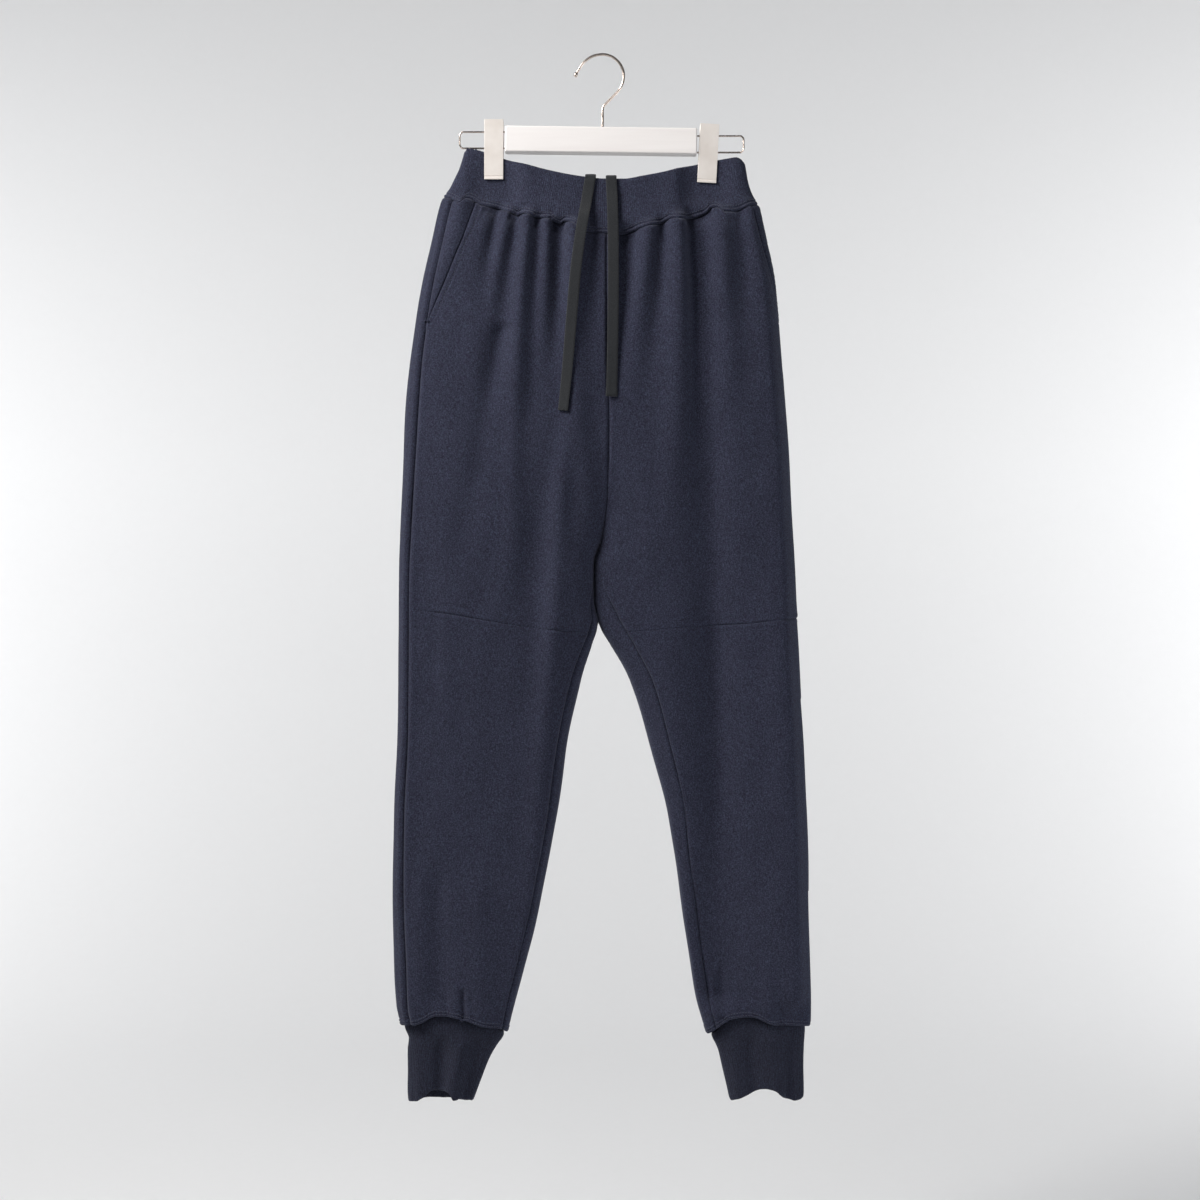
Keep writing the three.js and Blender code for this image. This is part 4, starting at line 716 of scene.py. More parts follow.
def face_under(x, d):
    y = np.zeros(np.shape(d))
    for o in (-0.5, -0.25, 0, 0.25, 0.5):
        px = x + o * TAPE_WIDE
        for leg in (-1, 1):
            xo, xi = outer(leg, d), inner(leg, d)
            u = (px - xo) / (xi - xo)
            ok = (u > 0) & (u <= 1)
            here = point(leg, turn_of(np.clip(u, 0, 1)), d)[..., 1]
            y = np.where(ok, np.minimum(y, here), y)
    return y


def tape(name, path):
    t = table("x drop", path)
    x0, last = path[0][0], path[-1][1]
    off = TAPE_CLEAR + TAPE_THICK / 2
    top = float(read(BAND_TOP, "x", "drop", x0))
    face = float(face_under(np.array([x0]), np.array([top + 2.0]))[0])
    middle, r = face + BAND / 2, BAND / 2 + off + 0.3
    line = [(x0, middle + r, top + TAPE_TUCK - i * 2.75) for i in range(5)]
    for a in range(0, 181, 12):
        f = math.radians(a)
        line.append((x0, middle + r * math.cos(f), top + 1.2 - (r + 0.6) * math.sin(f)))
    ds = np.linspace(top + 4, last, 110)
    xs = read(t, "drop", "x", ds)
    ys = np.zeros_like(ds)
    for h in (-9, -4.5, 0, 4.5, 9):
        ys = np.minimum(ys, face_under(xs, np.maximum(top + 2, ds + h)))
    k = np.hanning(13)
    k /= k.sum()
    # clear of the swell under the waist seam and of the doubled ends
    ys = np.convolve(np.pad(ys, 6, mode="edge"), k, "valid") - off - 1.2 * smooth(top + 10, top + 42, ds)
    line += [(float(a), float(b), float(c)) for a, b, c in zip(xs, ys, ds)]
    line = np.array([(a, b, -c) for a, b, c in line])
    n = len(line)
    along = unit(np.gradient(line, axis=0))
    up = unit(np.cross(np.array([1.0, 0, 0]), along))
    wide = unit(np.cross(along, up))
    s = np.concatenate([[0], np.cumsum(np.linalg.norm(np.diff(line, axis=0), axis=1))])
    total = s[-1]
    left = name.endswith("left")
    # a little turn about its length, and a doubled end
    roll = np.radians((6 if left else -18) * smooth(total * 0.25, total, s) + (4 if left else -6) * np.sin(s / 37) * smooth(40, 90, s))
    w = wide * np.cos(roll)[:, None] + up * np.sin(roll)[:, None]
    h = up * np.cos(roll)[:, None] - wide * np.sin(roll)[:, None]
    lift = np.abs(np.sin(roll)) * TAPE_WIDE * 0.5
    line = line + up * lift[:, None]
    end = smooth(total - 9, total - 7, s) if left else smooth(total - 3, total - 1, s) * 0.3
    half_w = (TAPE_WIDE / 2) * (1 + 0.07 * end)
    half_t = (TAPE_THICK / 2) * (1 + 0.45 * end)
    profile = []
    for a in np.linspace(-1, 1, 15):
        profile.append((a, 1.0 - 0.55 * abs(a) ** 7))
    profile = profile + [(1.035, 0.0)] + [(a, -h0) for a, h0 in reversed(profile)] + [(-1.035, 0.0)]
    prof = np.array(profile)
    m = len(prof)
    verts = line[:, None, :] + w[:, None, :] * (prof[None, :, 0:1] * half_w[:, None, None]) + h[:, None, :] * (prof[None, :, 1:2] * half_t[:, None, None])
    u = np.broadcast_to((prof[:, 0] * TAPE_WIDE / 2)[None], (n, m))
    cloth = np.stack([u, np.broadcast_to(s[:, None], (n, m)), np.zeros((n, m))], -1).reshape(-1, 3)
    idx = np.arange(n * m).reshape(n, m)
    f = np.stack([idx[:-1], np.roll(idx, -1, 1)[:-1], np.roll(idx, -1, 1)[1:], idx[1:]], -1).reshape(-1, 4)
    verts = verts.reshape(-1, 3)
    ob = closed(name + "_tape", verts, f, idx[0], idx[-1], TAPE_MAT, cloth)
    ride(ob, name)
    return ob, line, s


def closed(name, verts, quads, first, last, material, cloth=None, smooth_faces=True):
    """Mesh of quads with a fan on each open end."""
    me = bpy.data.meshes.new(name)
    verts = list(map(tuple, np.asarray(verts) / 1000))
    faces = [tuple(int(i) for i in q) for q in quads]
    for ring_, flip in ((first, False), (last, True)):
        centre = tuple(np.mean([verts[i] for i in ring_], axis=0))
        verts.append(centre)
        k = len(verts) - 1
        for i in range(len(ring_)):
            a, b = int(ring_[i]), int(ring_[(i + 1) % len(ring_)])
            faces.append((k, a, b) if flip else (k, b, a))
    me.from_pydata(verts, [], faces)
    bm = bmesh.new()
    bm.from_mesh(me)
    bmesh.ops.recalc_face_normals(bm, faces=bm.faces)
    bm.to_mesh(me)
    bm.free()
    for poly in me.polygons:
        poly.use_smooth = smooth_faces
    if cloth is not None:
        c = np.concatenate([cloth, np.array([cloth[first].mean(0), cloth[last].mean(0)])])
        a = me.attributes.new("cloth", "FLOAT_VECTOR", "POINT")
        a.data.foreach_set("vector", c.astype(np.float32).ravel())
    me.materials.append(material)
    ob = bpy.data.objects.new(name, me)
    scene.collection.objects.link(ob)
    return ob


def ride(ob, node):
    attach(ob, "root")
    if node:
        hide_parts(*([node] if isinstance(node, str) else node))
    return ob


for tape_name, tape_path, tape_length in TAPES:
    tape(tape_name, tape_path)

# ------------------------------------------------------------------ trousers
UP = row_list(WAIST_ROW, KNEE_ROW, 2.4, 0.8, 9)
LOW = row_list(KNEE_ROW, ANKLE_ROW, 2.6, 0.8, 9)
stitch_lines = []      # (points, normals) of each line of thread


for leg in (-1, 1):
    side = "right" if leg < 0 else "left"
    seed = 11 if leg < 0 else 23

    def front_from(l, d):
        return np.where(d < POCKET_END, np.maximum(pocket_line(l, d), side_seam(l, d)), side_seam(l, d))

    def base_grid(start, end, rows, count, back, spread=0.5):
        turn, d = grid(leg, start, end, rows, count, back, spread)
        d = d.copy()
        d[:, 0] += GAP
        d[:, -1] -= GAP
        p = point(leg, turn, d)
        e = 0.01
        for i, way in ((0, 1), (-1, -1)):
            rate = np.linalg.norm(point(leg, turn[i] + e, d[i]) - point(leg, turn[i] - e, d[i]), axis=-1) / (2 * e)
            p[i] = point(leg, turn[i] + way * GAP / np.maximum(rate, 4), d[i])
        return p

    # upper front
    p = base_grid(front_from, in_seam, UP, 126, False)
    nor = normals_of(p)
    u, v = lengths(p)
    su, eu, sv, ev = u, u[-1][None] - u, v, v[:, -1:] - v
    x, z = p[..., 0], p[..., 2]
    h = 0.45 * undulation(x, z, leg) + gathers("front", x, sv)
    h += 0.5 * ripple(u, seed, 8.0) * np.exp(-sv / 11) * smooth(0, 3, sv)
    low_ = smooth(POCKET_END - 6, POCKET_END + 12, -z)
    h += (-2.4 * bell(su, 0, 2.3) + 0.35 * bell(su, 6.0, 2.4)) * low_
    if leg < 0:
        h += (0.35 * bell(su, 2.2, 2.2) - 0.55 * bell(su, 6.2, 0.75) + 0.2 * bell(su, 8.2, 1.2) - 0.5 * bell(su, 0, 0.7)) * (1 - low_)
    else:
        h += (-0.9 * bell(su, 0, 1.0) - 0.4 * bell(su, 5.5, 0.8)) * (1 - low_)
    h += (-1.5 * bell(eu, 0, 1.5) + 0.3 * bell(eu, 4, 2.2)) * fork(z)
    drawn = knee_pull(leg, x)
    h += (-1.0 * bell(ev, 0, 0.95) + 0.3 * bell(ev, 3.0, 1.6)) * drawn + 0.16 * ripple(u, seed + 5, 5.5) * np.exp(-ev / 4)
    pf = lift(p, h, eu, -1)
    nf = normals_of(pf)
    fabric("cloth_front_" + side, "front_" + side, pf, CLOTH, FLEECE,
           bulge=(0.5, 0.3, 0.9, 0.8))
    if leg < 0:
        cols = [np.interp(5.6, u[:, j], np.arange(u.shape[0])) for j in range(u.shape[1])]
        jj = [j for j in range(u.shape[1]) if -pf[0, j, 2] < POCKET_END - 3]
        pts, ns = [], []
        for j in jj:
            c = cols[j]
            i0 = int(c)
            f = c - i0
            pts.append(pf[i0, j] * (1 - f) + pf[i0 + 1, j] * f)
            ns.append(nf[i0, j])
        stitch_lines.append((np.array(pts), np.array(ns), "pocket"))

    # lower front
    p = base_grid(side_seam, in_seam, LOW, 76, False)
    nor = normals_of(p)
    u, v = lengths(p)
    su, eu, sv, ev = u, u[-1][None] - u, v, v[:, -1:] - v
    x, z = p[..., 0], p[..., 2]
    h = 0.45 * undulation(x, z, leg)
    drawn = knee_pull(leg, x)
    h += (-1.0 * bell(sv, 0, 0.95) + 0.45 * bell(sv, 3.2, 2.0)) * drawn + 0.16 * ripple(u, seed + 6, 5.5) * np.exp(-sv / 4)
    h += -2.4 * bell(su, 0, 2.3) + 0.35 * bell(su, 6.0, 2.4) - 1.1 * bell(eu, 0, 1.1) + 0.4 * bell(eu, 4, 2.4)
    h += leg_end(ev) + 0.45 * ripple(u, seed + 9, 9) * np.exp(-ev / 12) * smooth(5, 9, ev)
    pf = p + nor * h[..., None]
    nf = normals_of(pf)
    fabric("cloth_shin_" + side, "shin_" + side, pf, CLOTH, FLEECE,
           bulge=(0.3, 0.9, 0.4, 0.4))
    for s_want in (1.9, 4.9):
        n = pf.shape[0]
        pts = np.array([[np.interp(v[i, -1] - s_want, v[i], pf[i, :, c]) for c in range(3)] for i in range(n)])
        ns = nf[:, -6]
        stitch_lines.append((pts, ns, "cuff"))

    # back
    rows = np.concatenate([UP, LOW[1:]])
    p = base_grid(in_seam, lambda l, d: 2 + side_seam(l, d), rows, 84, True, 0.42)
    nor = normals_of(p)
    u, v = lengths(p)
    su, eu, sv, ev = u, u[-1][None] - u, v, v[:, -1:] - v
    x, z = p[..., 0], p[..., 2]
    h = 0.5 * undulation(x, z, leg + 5) + gathers("back", x, sv)
    h += 0.5 * ripple(u, seed + 20, 8.0) * np.exp(-sv / 11) * smooth(0, 3, sv)
    h += (-1.3 * bell(su, 0, 1.2) + 0.35 * bell(su, 4, 2.2)) * fork(z) - 1.7 * bell(eu, 0, 1.7) + 0.8 * bell(eu, 4.6, 2.6)
    h += leg_end(ev) + 0.45 * ripple(u, seed + 29, 9) * np.exp(-ev / 12) * smooth(5, 9, ev)
    pf = lift(p, h, su, 1)
    nf = normals_of(pf)
    fabric("cloth_back_" + side, ("back_" + side, "calf_" + side), pf, CLOTH, FLEECE,
           bulge=(0.5, 0.9, 0.8, 0.4))
    for s_want in (1.9, 4.9):
        n = pf.shape[0]
        pts = np.array([[np.interp(v[i, -1] - s_want, v[i], pf[i, :, c]) for c in range(3)] for i in range(n)])
        stitch_lines.append((pts, nf[:, -6], "cuff"))

    # pocket side piece
    rows = UP[UP <= POCKET_END]
    rows = np.append(rows, POCKET_END) if rows[-1] < POCKET_END else rows
    p = base_grid(side_seam, pocket_line, rows, 26, False)
    nor = normals_of(p)
    u, v = lengths(p)
    su, eu, sv = u, u[-1][None] - u, v
    width = np.maximum(u[-1], 0.5)[None]
    h = -POCKET_STEP + 1.7 * np.sin(math.pi * np.clip(u / width, 0, 1)) ** 0.8 * smooth(3, 12, width) + 0 * u
    h += -0.9 * bell(su, 0, 1.1) - 1.0 * bell(eu, 0, 1.0) - 1.0 * bell(sv, 0, 1.6) + 0.5 * bell(sv, 4.5, 3)
    pf = p + nor * h[..., None]
    fabric("cloth_pocket_" + side, "pocket_" + side, pf, CLOTH, FLEECE,
           bulge=(0.5, 0.3, 0.4, 0.2))

# waistband
q = np.linspace(0, 4, 6001)[:-1]


def ring_place(q):
    k = np.floor(q).astype(int) % 4
    f = q - np.floor(q)
    leg = np.where((k == 0) | (k == 3), -1, 1)
    eps = 0.008
    turn = np.select([k == 0, k == 1, k == 2, k == 3],
                     [f * (math.pi - eps), (1 - f) * (math.pi - eps), 2 * math.pi - f * (math.pi - eps), math.pi + eps + f * (math.pi - eps)])
    return leg, turn


def ring_points(q, d):
    leg, turn = ring_place(q)
    left, right = point(1, turn, d), point(-1, turn, d)
    return np.where((leg > 0)[..., None], left, right)


def seam_at(x, back):
    return np.where(back, read(WAIST_SEAM, "x", "back", x), read(WAIST_SEAM, "x", "front", x))


d = np.full_like(q, 160.0)
for _ in range(6):
    at = ring_points(q, d)
    d = seam_at(at[:, 0], q >= 2)
at = ring_points(q, d)
step = np.linalg.norm(np.roll(at, -1, 0) - at, axis=1)
run = np.concatenate([[0], np.cumsum(step)])
count = int(run[-1] / 0.62)
qs = np.interp(np.linspace(0, run[-1], count + 1)[:-1], run, np.append(q, 4.0))
levels = np.concatenate([np.linspace(0, 0.86, 19), np.linspace(0.88, 1, 12)])
Q = np.broadcast_to(qs[:, None], (count, len(levels)))
S = np.broadcast_to(levels[None], (count, len(levels)))
D = np.full(Q.shape, 140.0)
seam_row = np.interp(qs, q, d)[:, None]
for _ in range(6):
    P = ring_points(Q, D)
    X = P[..., 0]
    top = read(BAND_TOP, "x", "drop", X) + BAND / 2
    # small scallops where the band's end is gathered beyond the clip
    top = top - 0.4 * smooth(-147, -143, X) * (1 - smooth(-133, -129, X)) * np.cos((X + 142) * 2 * math.pi / 4.7)
    D = mix(top, seam_row - GAP - 0.1, S)
P = ring_points(Q, D)
N = normals_of(P, True)
U, V = lengths(P)
EV = V[:, -1:] - V
U = np.broadcast_to(np.linspace(0, run[-1], count + 1)[:-1][:, None], V.shape)
pitch = run[-1] / round(run[-1] / 2.48)
rib = np.cos(2 * math.pi * U / pitch)
H = 0.20 * rib * smooth(5.5, 8, EV) * 1.0
H += 0.35 * undulation(P[..., 0], P[..., 2] * 1.5, 3)
H += 0.75 * bell(EV, 1.5, 0.85) - 0.4 * bell(EV, 3.6, 0.8) + 0.35 * bell(EV, 6.0, 2.0) - 0.3 * bell(EV, 0, 0.6)
lobe = smooth(-150, -144, P[..., 0]) * (1 - smooth(-130, -122, P[..., 0]))
H += 0.4 * lobe * np.cos((P[..., 0] + 142) * 2 * math.pi / 4.7) * np.exp(-V / 10)
H *= 1 - 0.8 * pinch(P[..., 0], P[..., 2] * -1 + 14)
P = P + N * H[..., None]
fabric("cloth_waistband", "waistband", P, BAND, RIB_MAT, ring=True,
       bulge=(1.0, 0.8, 0, 0), form=N)
NB = normals_of(P, True)
for s_want in (2.6, 5.4):
    pts = np.array([[np.interp(V[i, -1] - s_want, V[i], P[i, :, c]) for c in range(3)] for i in range(count)])
    stitch_lines.append((np.concatenate([pts, pts[:1]]), np.concatenate([NB[:, -5], NB[:1, -5]]), "waist"))

# cuffs
CUFF_FOLDS = {
    "right": [(-1, -168, 1020, -170, 1104, 8, 4.2), (+1, -146, 1024, -157, 1098, 8, 4.4), (-1, -128, 1030, -146, 1104, 7, 2.2), (+1, -190, 1020, -192, 1104, 9, 1.8)],
    "left": [(-1, 153, 1016, 161, 1100, 8, 3.4), (+1, 177, 1016, 184, 1090, 10, 3.6), (-1, 199, 1020, 197, 1100, 6, 2.2), (+1, 206, 1020, 205, 1104, 5, 1.4), (+1, 136, 1024, 144, 1100, 7, 1.8)]}
for leg in (-1, 1):
    tag, side = ("R", "right") if leg < 0 else ("L", "left")

    def cuff_point(turn, d):
        xo, xi = read(CUFF_FORM, "drop", "outer" + tag, d), read(CUFF_FORM, "drop", "inner" + tag, d)
        c = np.cos(turn)
        back = (turn > math.pi)
        deep = np.where(back, read(CUFF_FORM, "drop", "back", d), read(CUFF_FORM, "drop", "front", d))
        x = mix(xo, xi, (1 - c) / 2)
        y = deep * np.abs(np.sin(turn)) ** 0.8
        f = 0
        for kind, x0, d0, x1, d1, w, high in CUFF_FOLDS[side]:
            t = np.clip((d - d0) / (d1 - d0), 0, 1)
            cx = mix(x0, x1, t)
            f = f + kind * high * smooth(0, 0.35, t) * np.exp(-(((x - cx) / w) ** 2)) * np.where(back, 0.6, 1.0)
        y = y + f * smooth(0, 12, np.minimum(np.abs(x - xo), np.abs(x - xi)))
        return np.stack([x, np.where(back, y, -y), -d], -1)

    t = np.linspace(0, 2 * math.pi, 4001)[:-1]
    at = cuff_point(t, np.full_like(t, 1050.0))
    step = np.linalg.norm(np.roll(at, -1, 0) - at, axis=1)
    run = np.concatenate([[0], np.cumsum(step)])
    count = int(run[-1] / 0.6)
    ts = np.interp(np.linspace(0, run[-1], count + 1)[:-1], run, np.append(t, 2 * math.pi))
    levels = np.concatenate([np.linspace(0, 0.12, 8), np.linspace(0.15, 1, 34)])
    T = np.broadcast_to(ts[:, None], (count, len(levels)))
    across = (1 - np.cos(T)) / 2
    back = T > math.pi
    top = np.where(back, read(CUFF_SEAM, "across", "back", across), read(CUFF_SEAM, "across", side, across)) - 1.5
    low = np.where(back, read(HEM, "across", side + "Back", across), read(HEM, "across", side + "Front", across)) - CUFF / 2
    D = mix(top, low, levels[None])
    P = cuff_point(T, D)
    N = normals_of(P, True)
    _, V = lengths(P)
    EV = V[:, -1:] - V
    U = np.broadcast_to(np.linspace(0, run[-1], count + 1)[:-1][:, None], V.shape)
    pitch = run[-1] / round(run[-1] / 2.4)
    H = 0.22 * np.cos(2 * math.pi * U / pitch) * smooth(2, 5, V) * smooth(0.5, 2.5, EV)
    H += 0.4 * undulation(P[..., 0], P[..., 2] * 2, leg + 9) - 1.5 * bell(V, 0, 2.2)
    H += 0.35 * ripple(U, 41 + leg, 13) * smooth(25, 0, EV)
    P = P + N * H[..., None]
    fabric("cloth_cuff_" + side, "cuff_" + side, P, CUFF, CUFF_PAINTED_SHADE_MAT, ring=True,
           bulge=(0.3, 1.0, 0, 0), form=N)


# ------------------------------------------------------------------ thread
def stitches(name, lines, pitch, length, radius):
    """One mesh of short rounded stitches along the lines."""
    sides, rings = 6, [(-0.5, 0.25), (-0.36, 0.85), (0.0, 1.0), (0.36, 0.85), (0.5, 0.25)]
    verts, faces, base = [], [], 0
    ang = np.arange(sides) * 2 * math.pi / sides
    for pts, ns in lines:
        s = np.concatenate([[0], np.cumsum(np.linalg.norm(np.diff(pts, axis=0), axis=1))])
        for c in np.arange(pitch, s[-1] - pitch, pitch):
            a = np.array([np.interp(c - 0.5, s, pts[:, k]) for k in range(3)])
            b = np.array([np.interp(c + 0.5, s, pts[:, k]) for k in range(3)])
            mid = (a + b) / 2
            n = np.array([np.interp(c, s, ns[:, k]) for k in range(3)])
            t = unit(b - a)
            n = unit(n - t * (n @ t))
            w = np.cross(t, n)
            mid = mid + n * radius * 0.25
            for along, r in rings:
                bow = -radius * 0.9 * (2 * along) ** 2
                centre = mid + t * along * length + n * bow
                verts.append(centre + (np.cos(ang)[:, None] * w + np.sin(ang)[:, None] * n) * radius * r)
            k = len(rings)
            for i in range(k - 1):
                for j in range(sides):
                    j2 = (j + 1) % sides
                    faces.append((base + (i + 1) * sides + j, base + (i + 1) * sides + j2, base + i * sides + j2, base + i * sides + j))
            for end in (0, k - 1):
                o = base + end * sides
                q4 = [(o, o + 1, o + 2, o + 3), (o, o + 3, o + 4, o + 5)]
                faces += [f[::-1] for f in q4] if end else q4
            base += k * sides
    ob = new_mesh(name, np.concatenate(verts), np.array(faces), THREAD)
    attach(ob, "root")
    return ob


stitches("stitch_waist", [(a, b) for a, b, k in stitch_lines if k == "waist"], 3.0, 2.4, 0.27)
stitches("stitch_cuffs", [(a, b) for a, b, k in stitch_lines if k == "cuff"], 3.0, 2.4, 0.27)
stitches("stitch_pocket", [(a, b) for a, b, k in stitch_lines if k == "pocket"], 3.2, 2.5, 0.26)


# ------------------------------------------------------------------ hanger
def catmull(points, per):
    p = np.array(points, float)
    p = np.concatenate([[2 * p[0] - p[1]], p, [2 * p[-1] - p[-2]]])
    out = []
    for i in range(1, len(p) - 2):
        for t in np.linspace(0, 1, per, endpoint=False):
            a, b, c, e = p[i - 1], p[i], p[i + 1], p[i + 2]
            out.append(0.5 * (2 * b + (c - a) * t + (2 * a - 5 * b + 4 * c - e) * t * t + (3 * b - a - 3 * c + e) * t ** 3))
    out.append(p[-2])
    return np.array(out)


def tube(name, line, radius, sides, material, radii=None):
    n = len(line)
    along = unit(np.gradient(line, axis=0))
    up = np.zeros((n, 3))
    ref = np.array([0, 1.0, 0]) if abs(along[0][1]) < 0.9 else np.array([1.0, 0, 0])
    up[0] = unit(ref - along[0] * (ref @ along[0]))
    for i in range(1, n):
        up[i] = unit(up[i - 1] - along[i] * (up[i - 1] @ along[i]))
    side = np.cross(along, up)
    r = np.full(n, radius) if radii is None else np.asarray(radii)
    a = np.arange(sides) * 2 * math.pi / sides
    verts = line[:, None] + r[:, None, None] * (np.cos(a)[None, :, None] * up[:, None] + np.sin(a)[None, :, None] * side[:, None])
    idx = np.arange(n * sides).reshape(n, sides)
    f = np.stack([idx[:-1], np.roll(idx, -1, 1)[:-1], np.roll(idx, -1, 1)[1:], idx[1:]], -1).reshape(-1, 4)
    return closed(name, verts.reshape(-1, 3), f, idx[0], idx[-1], material)


HOOK_PATH = [(0.6, 75.6), (0.6, 66), (0.6, 57.5), (1.8, 53.2), (6.0, 48.6), (16.2, 38.1), (20.6, 31.8), (22.7, 24.4), (22.4, 16.2),
             (18.9, 8.2), (12.2, 1.8), (4.6, -1.2), (-2.6, -1.4), (-10.4, 0.6), (-17.4, 5.2), (-22.6, 11.2), (-26.6, 18.0)]
hook = catmull([(x, 0, -z) for x, z in HOOK_PATH], 10)
hook[0, 2] -= 1.2
tip = hook[-1]
ball_at = np.array([tip[0] - 1.2, 0, tip[2] - 2.0])
ride(tube("hook_wire", hook, 1.45, 20, NICKEL), "hanger_hook")


def ball(name, centre, radius, material):
    me = bpy.data.meshes.new(name)
    bm = bmesh.new()
    bmesh.ops.create_icosphere(bm, subdivisions=4, radius=radius / 1000)
    for v in bm.verts:
        v.co.z *= 1.12
        v.co += Vector(centre / 1000)
    bm.to_mesh(me)
    bm.free()
    for poly in me.polygons:
        poly.use_smooth = True
    me.materials.append(material)
    ob = bpy.data.objects.new(name, me)
    scene.collection.objects.link(ob)
    return ob


ride(ball("hook_tip", ball_at, 2.35, NICKEL), "hanger_hook_tip")


def prism(name, outline, width, material, bevel=0.3, segments=2, turn=0.0, at=(0, 0, 0), mirror=False):
    """Plate with a side outline in y and z, drawn along x, with bevelled edges."""
    bm = bmesh.new()
    pts = [(y if not mirror else -y, z) for y, z in outline]
    a = [bm.verts.new((-width / 2, y, z)) for y, z in pts]
    b = [bm.verts.new((width / 2, y, z)) for y, z in pts]
    bm.faces.new(a)
    bm.faces.new(b[::-1])
    for i in range(len(pts)):
        j = (i + 1) % len(pts)
        bm.faces.new((a[i], a[j], b[j], b[i]))
    bmesh.ops.recalc_face_normals(bm, faces=bm.faces)
    sharp = [e for e in bm.edges if len(e.link_faces) == 2 and e.calc_face_angle() > math.radians(35)]
    bmesh.ops.bevel(bm, geom=sharp, offset=bevel, segments=segments, affect="EDGES", profile=0.5, clamp_overlap=True)
    c, s = math.cos(turn), math.sin(turn)
    for v in bm.verts:
        x, y, z = v.co
        v.co = Vector(((c * x + s * z + at[0]) / 1000, (y + at[1]) / 1000, (-s * x + c * z + at[2]) / 1000))
    me = bpy.data.meshes.new(name)
    bm.to_mesh(me)
    bm.free()
    for poly in me.polygons:
        poly.use_smooth = True
    me.materials.append(material)
    ob = bpy.data.objects.new(name, me)
    scene.collection.objects.link(ob)
    m = ob.modifiers.new("flat", "WEIGHTED_NORMAL")
    m.keep_sharp = False
    return ob


BAR_LONG, BAR_HIGH, BAR_DEEP, BAR_TILT, BAR_DROP = 202.5, 27.6, 17.0, math.radians(0.75), 76.2
w, h = BAR_DEEP / 2, BAR_HIGH / 2
ride(prism("bar", [(-w, -h), (w, -h), (w, h), (-w, h)], BAR_LONG, PAINT, 1.7, 4, BAR_TILT, (-1.0, 0, -(BAR_DROP + h))), "hanger_bar")

SIDES = [("right", -1, -150.2, 80.4, 97.6, -114.0, 68.0, 131.6, 0.0), ("left", 1, 149.6, 84.6, 102.0, 112.0, 72.8, 135.2, 3.2)]
for side, sgn, end, upper, lower, clip_x, clip_top, clip_end, lean in SIDES:
    start = sgn * (BAR_LONG / 2 - 4.0) - 1.0
    r = 4.4
    pts = [(start, upper), (mix(start, end, 0.5), upper), (end - sgn * r, upper)]
    for a in (22.5, 45, 67.5):
        f = math.radians(a)
        pts.append((end - sgn * r * (1 - math.sin(f)), upper + r * (1 - math.cos(f))))
    pts += [(end, upper + r), (end, (upper + lower) / 2), (end, lower - r)]
    for a in (22.5, 45, 67.5):
        f = math.radians(a)
        pts.append((end - sgn * r * (1 - math.cos(f)), lower - r * (1 - math.sin(f))))
    pts += [(end - sgn * r, lower), (mix(start, end, 0.5), lower), (start, lower)]
    line = catmull([(x, 0, -z) for x, z in pts], 5)
    ride(tube("loop_" + side, line, 0.95, 14, NICKEL), "hanger_loop_" + side)
    length = clip_end - clip_top
    tilt = math.radians(lean)
    # sheet metal: flat, a step near the lower end and a turned lip
    out_line = [(-1.25, 0.0), (-1.25, -length + 4.4), (-0.75, -length + 4.1), (-0.75, -length + 2.6), (-1.75, -length + 2.3), (-1.9, -length + 0.2),
                (-1.2, -length), (-0.25, -length + 0.6), (-0.1, -length + 4.2), (0.0, -length + 6.0), (0.0, 0.0)]
    top_x = clip_x + math.tan(tilt) * length / 2
    for face, word in ((-1, "front"), (1, "back")):
        ob = prism("clip_%s_%s_plate" % (word, side), out_line, 20.0, CLIP_METAL, 0.28, 2, tilt, (top_x, face * 5.2, -clip_top), mirror=face > 0)
        ride(ob, "clip_%s_%s" % (word, side))
    # hinge pin and the coil round it
    mid = (upper + lower) / 2
    cx = clip_x + math.tan(tilt) * length * 0.2
    coil = []
    turns = 7
    for i in range(turns * 16 + 1):
        a = 2 * math.pi * i / 16
        coil.append((cx - 6.5 + 13.0 * i / (turns * 16), 2.6 * math.sin(a), -mid + 2.6 * math.cos(a)))
    spring = tube("clip_spring_%s_coil" % side, np.array(coil), 0.62, 8, NICKEL)
    ride(spring, "clip_spring_" + side)
    pin = tube("clip_pin_" + side, np.array([(cx - 9.3, 0, -mid), (cx - 4, 0, -mid), (cx + 4, 0, -mid), (cx + 9.3, 0, -mid)], float), 1.35, 16, NICKEL)
    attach(pin, "root")

# ------------------------------------------------------------------ studio
AMBIENT, KEY, FILL = 0.16, 76.0, 15.0


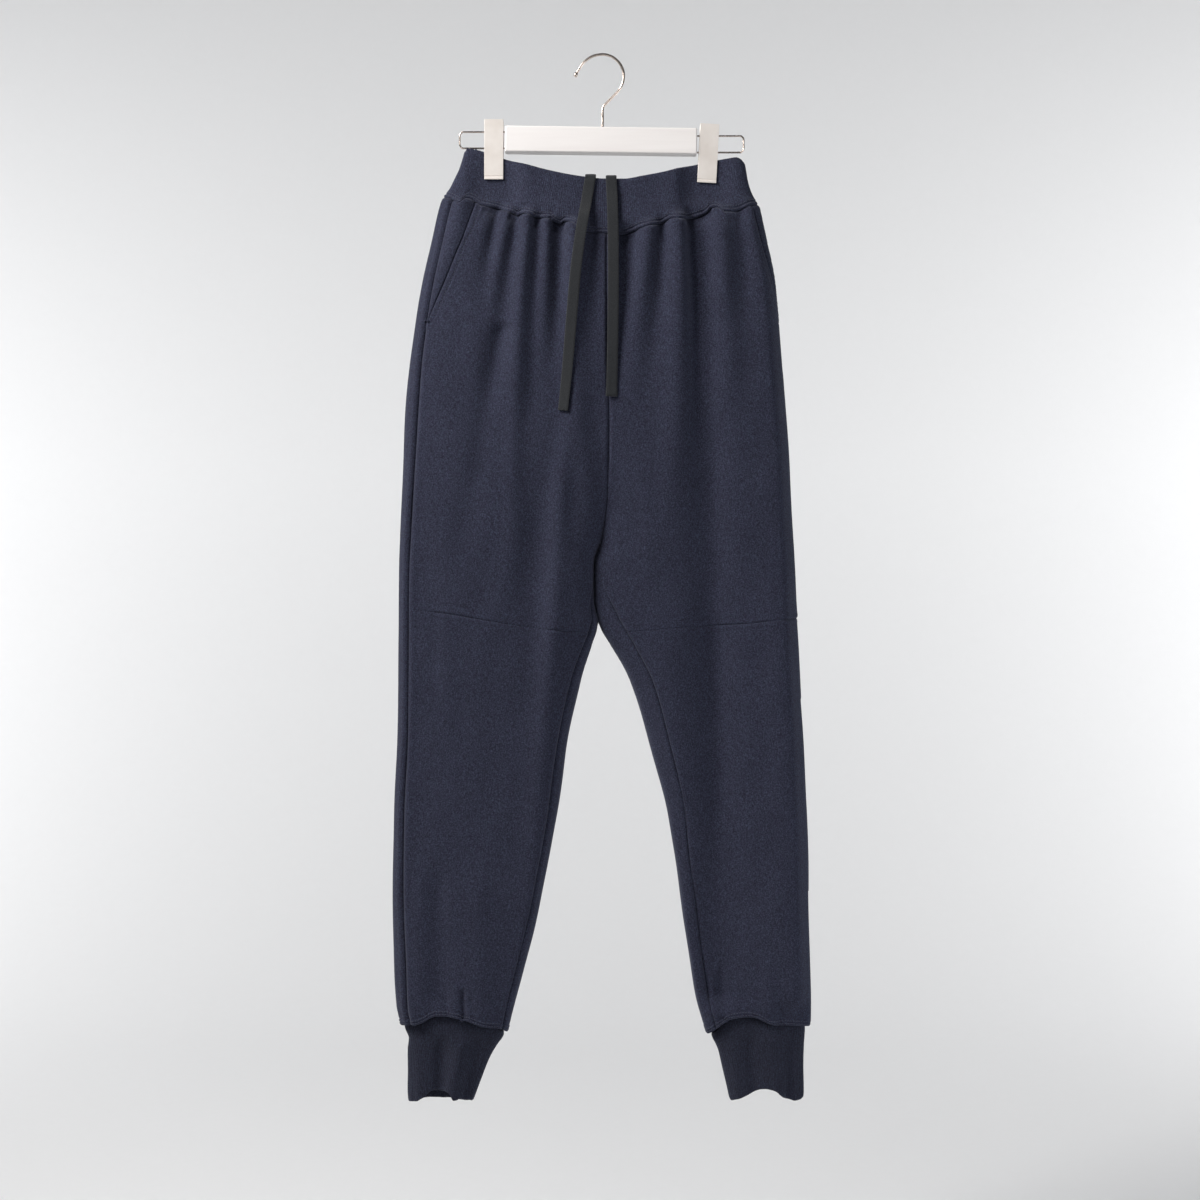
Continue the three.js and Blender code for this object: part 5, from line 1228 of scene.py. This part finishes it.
def sweep(name, low, wall, round_, half):
    """Pale floor that curves up into a far wall."""
    line = [(-6.0, low), (wall - round_, low)]
    line += [(wall - round_ + round_ * math.sin(f), low + round_ * (1 - math.cos(f))) for f in np.radians(np.arange(6, 90, 6))]
    line += [(wall, low + round_), (wall, 5.0)]
    v = [(x, y, z) for y, z in line for x in (-half, half)]
    f = [(2 * i, 2 * i + 1, 2 * i + 3, 2 * i + 2) for i in range(len(line) - 1)]
    me = bpy.data.meshes.new(name)
    me.from_pydata(v, [], f)
    for poly in me.polygons:
        poly.use_smooth = True
    k = Nodes("floor_pale")
    k.set(Roughness=0.9, Specular_IOR_Level=0.1)
    coord = k.node("ShaderNodeTexCoord")
    n = k.noise(coord.outputs["Object"], 60, 2)
    k.link(k.ramp(n.outputs[0], [(0.3, (0.790, 0.793, 0.800, 1)), (0.7, (0.796, 0.799, 0.806, 1))]), k.bsdf.inputs["Base Color"])
    me.materials.append(k.mat)
    ob = bpy.data.objects.new(name, me)
    scene.collection.objects.link(ob)


sweep("floor", -1.45, 3.1, 1.2, 7.0)

world = bpy.data.worlds.new("studio")
scene.world = world
world.use_nodes = True
glow = world.node_tree.nodes["Background"]
glow.inputs[0].default_value = (0.93, 0.96, 1.0, 1)
glow.inputs[1].default_value = AMBIENT


def panel_light(name, at, target, size, power, color):
    data = bpy.data.lights.new(name, "AREA")
    data.shape = "RECTANGLE"
    data.size, data.size_y = size
    data.energy, data.color = power, color
    ob = bpy.data.objects.new(name, data)
    ob.location = at
    ob.rotation_mode = "QUATERNION"
    ob.rotation_quaternion = (Vector(target) - Vector(at)).to_track_quat("-Z", "Y")
    scene.collection.objects.link(ob)


panel_light("key", (-1.45, -0.9, 0.85), (0, 0, -0.3), (0.9, 1.0), KEY, (1.0, 0.985, 0.965))
panel_light("fill", (1.8, -0.7, -0.95), (0, 0, -0.8), (0.9, 0.9), FILL, (0.94, 0.97, 1.0))
for x, wash in ((-2.5, 32.0), (2.5, 36.0)):
    panel_light("wall_light", (x, 1.8, -0.6), (0.2 * x, 3.1, -0.85), (1.0, 2.6), wash, (1.0, 1.0, 1.0))
scene.view_settings.view_transform = "Standard"
scene.view_settings.look = "None"
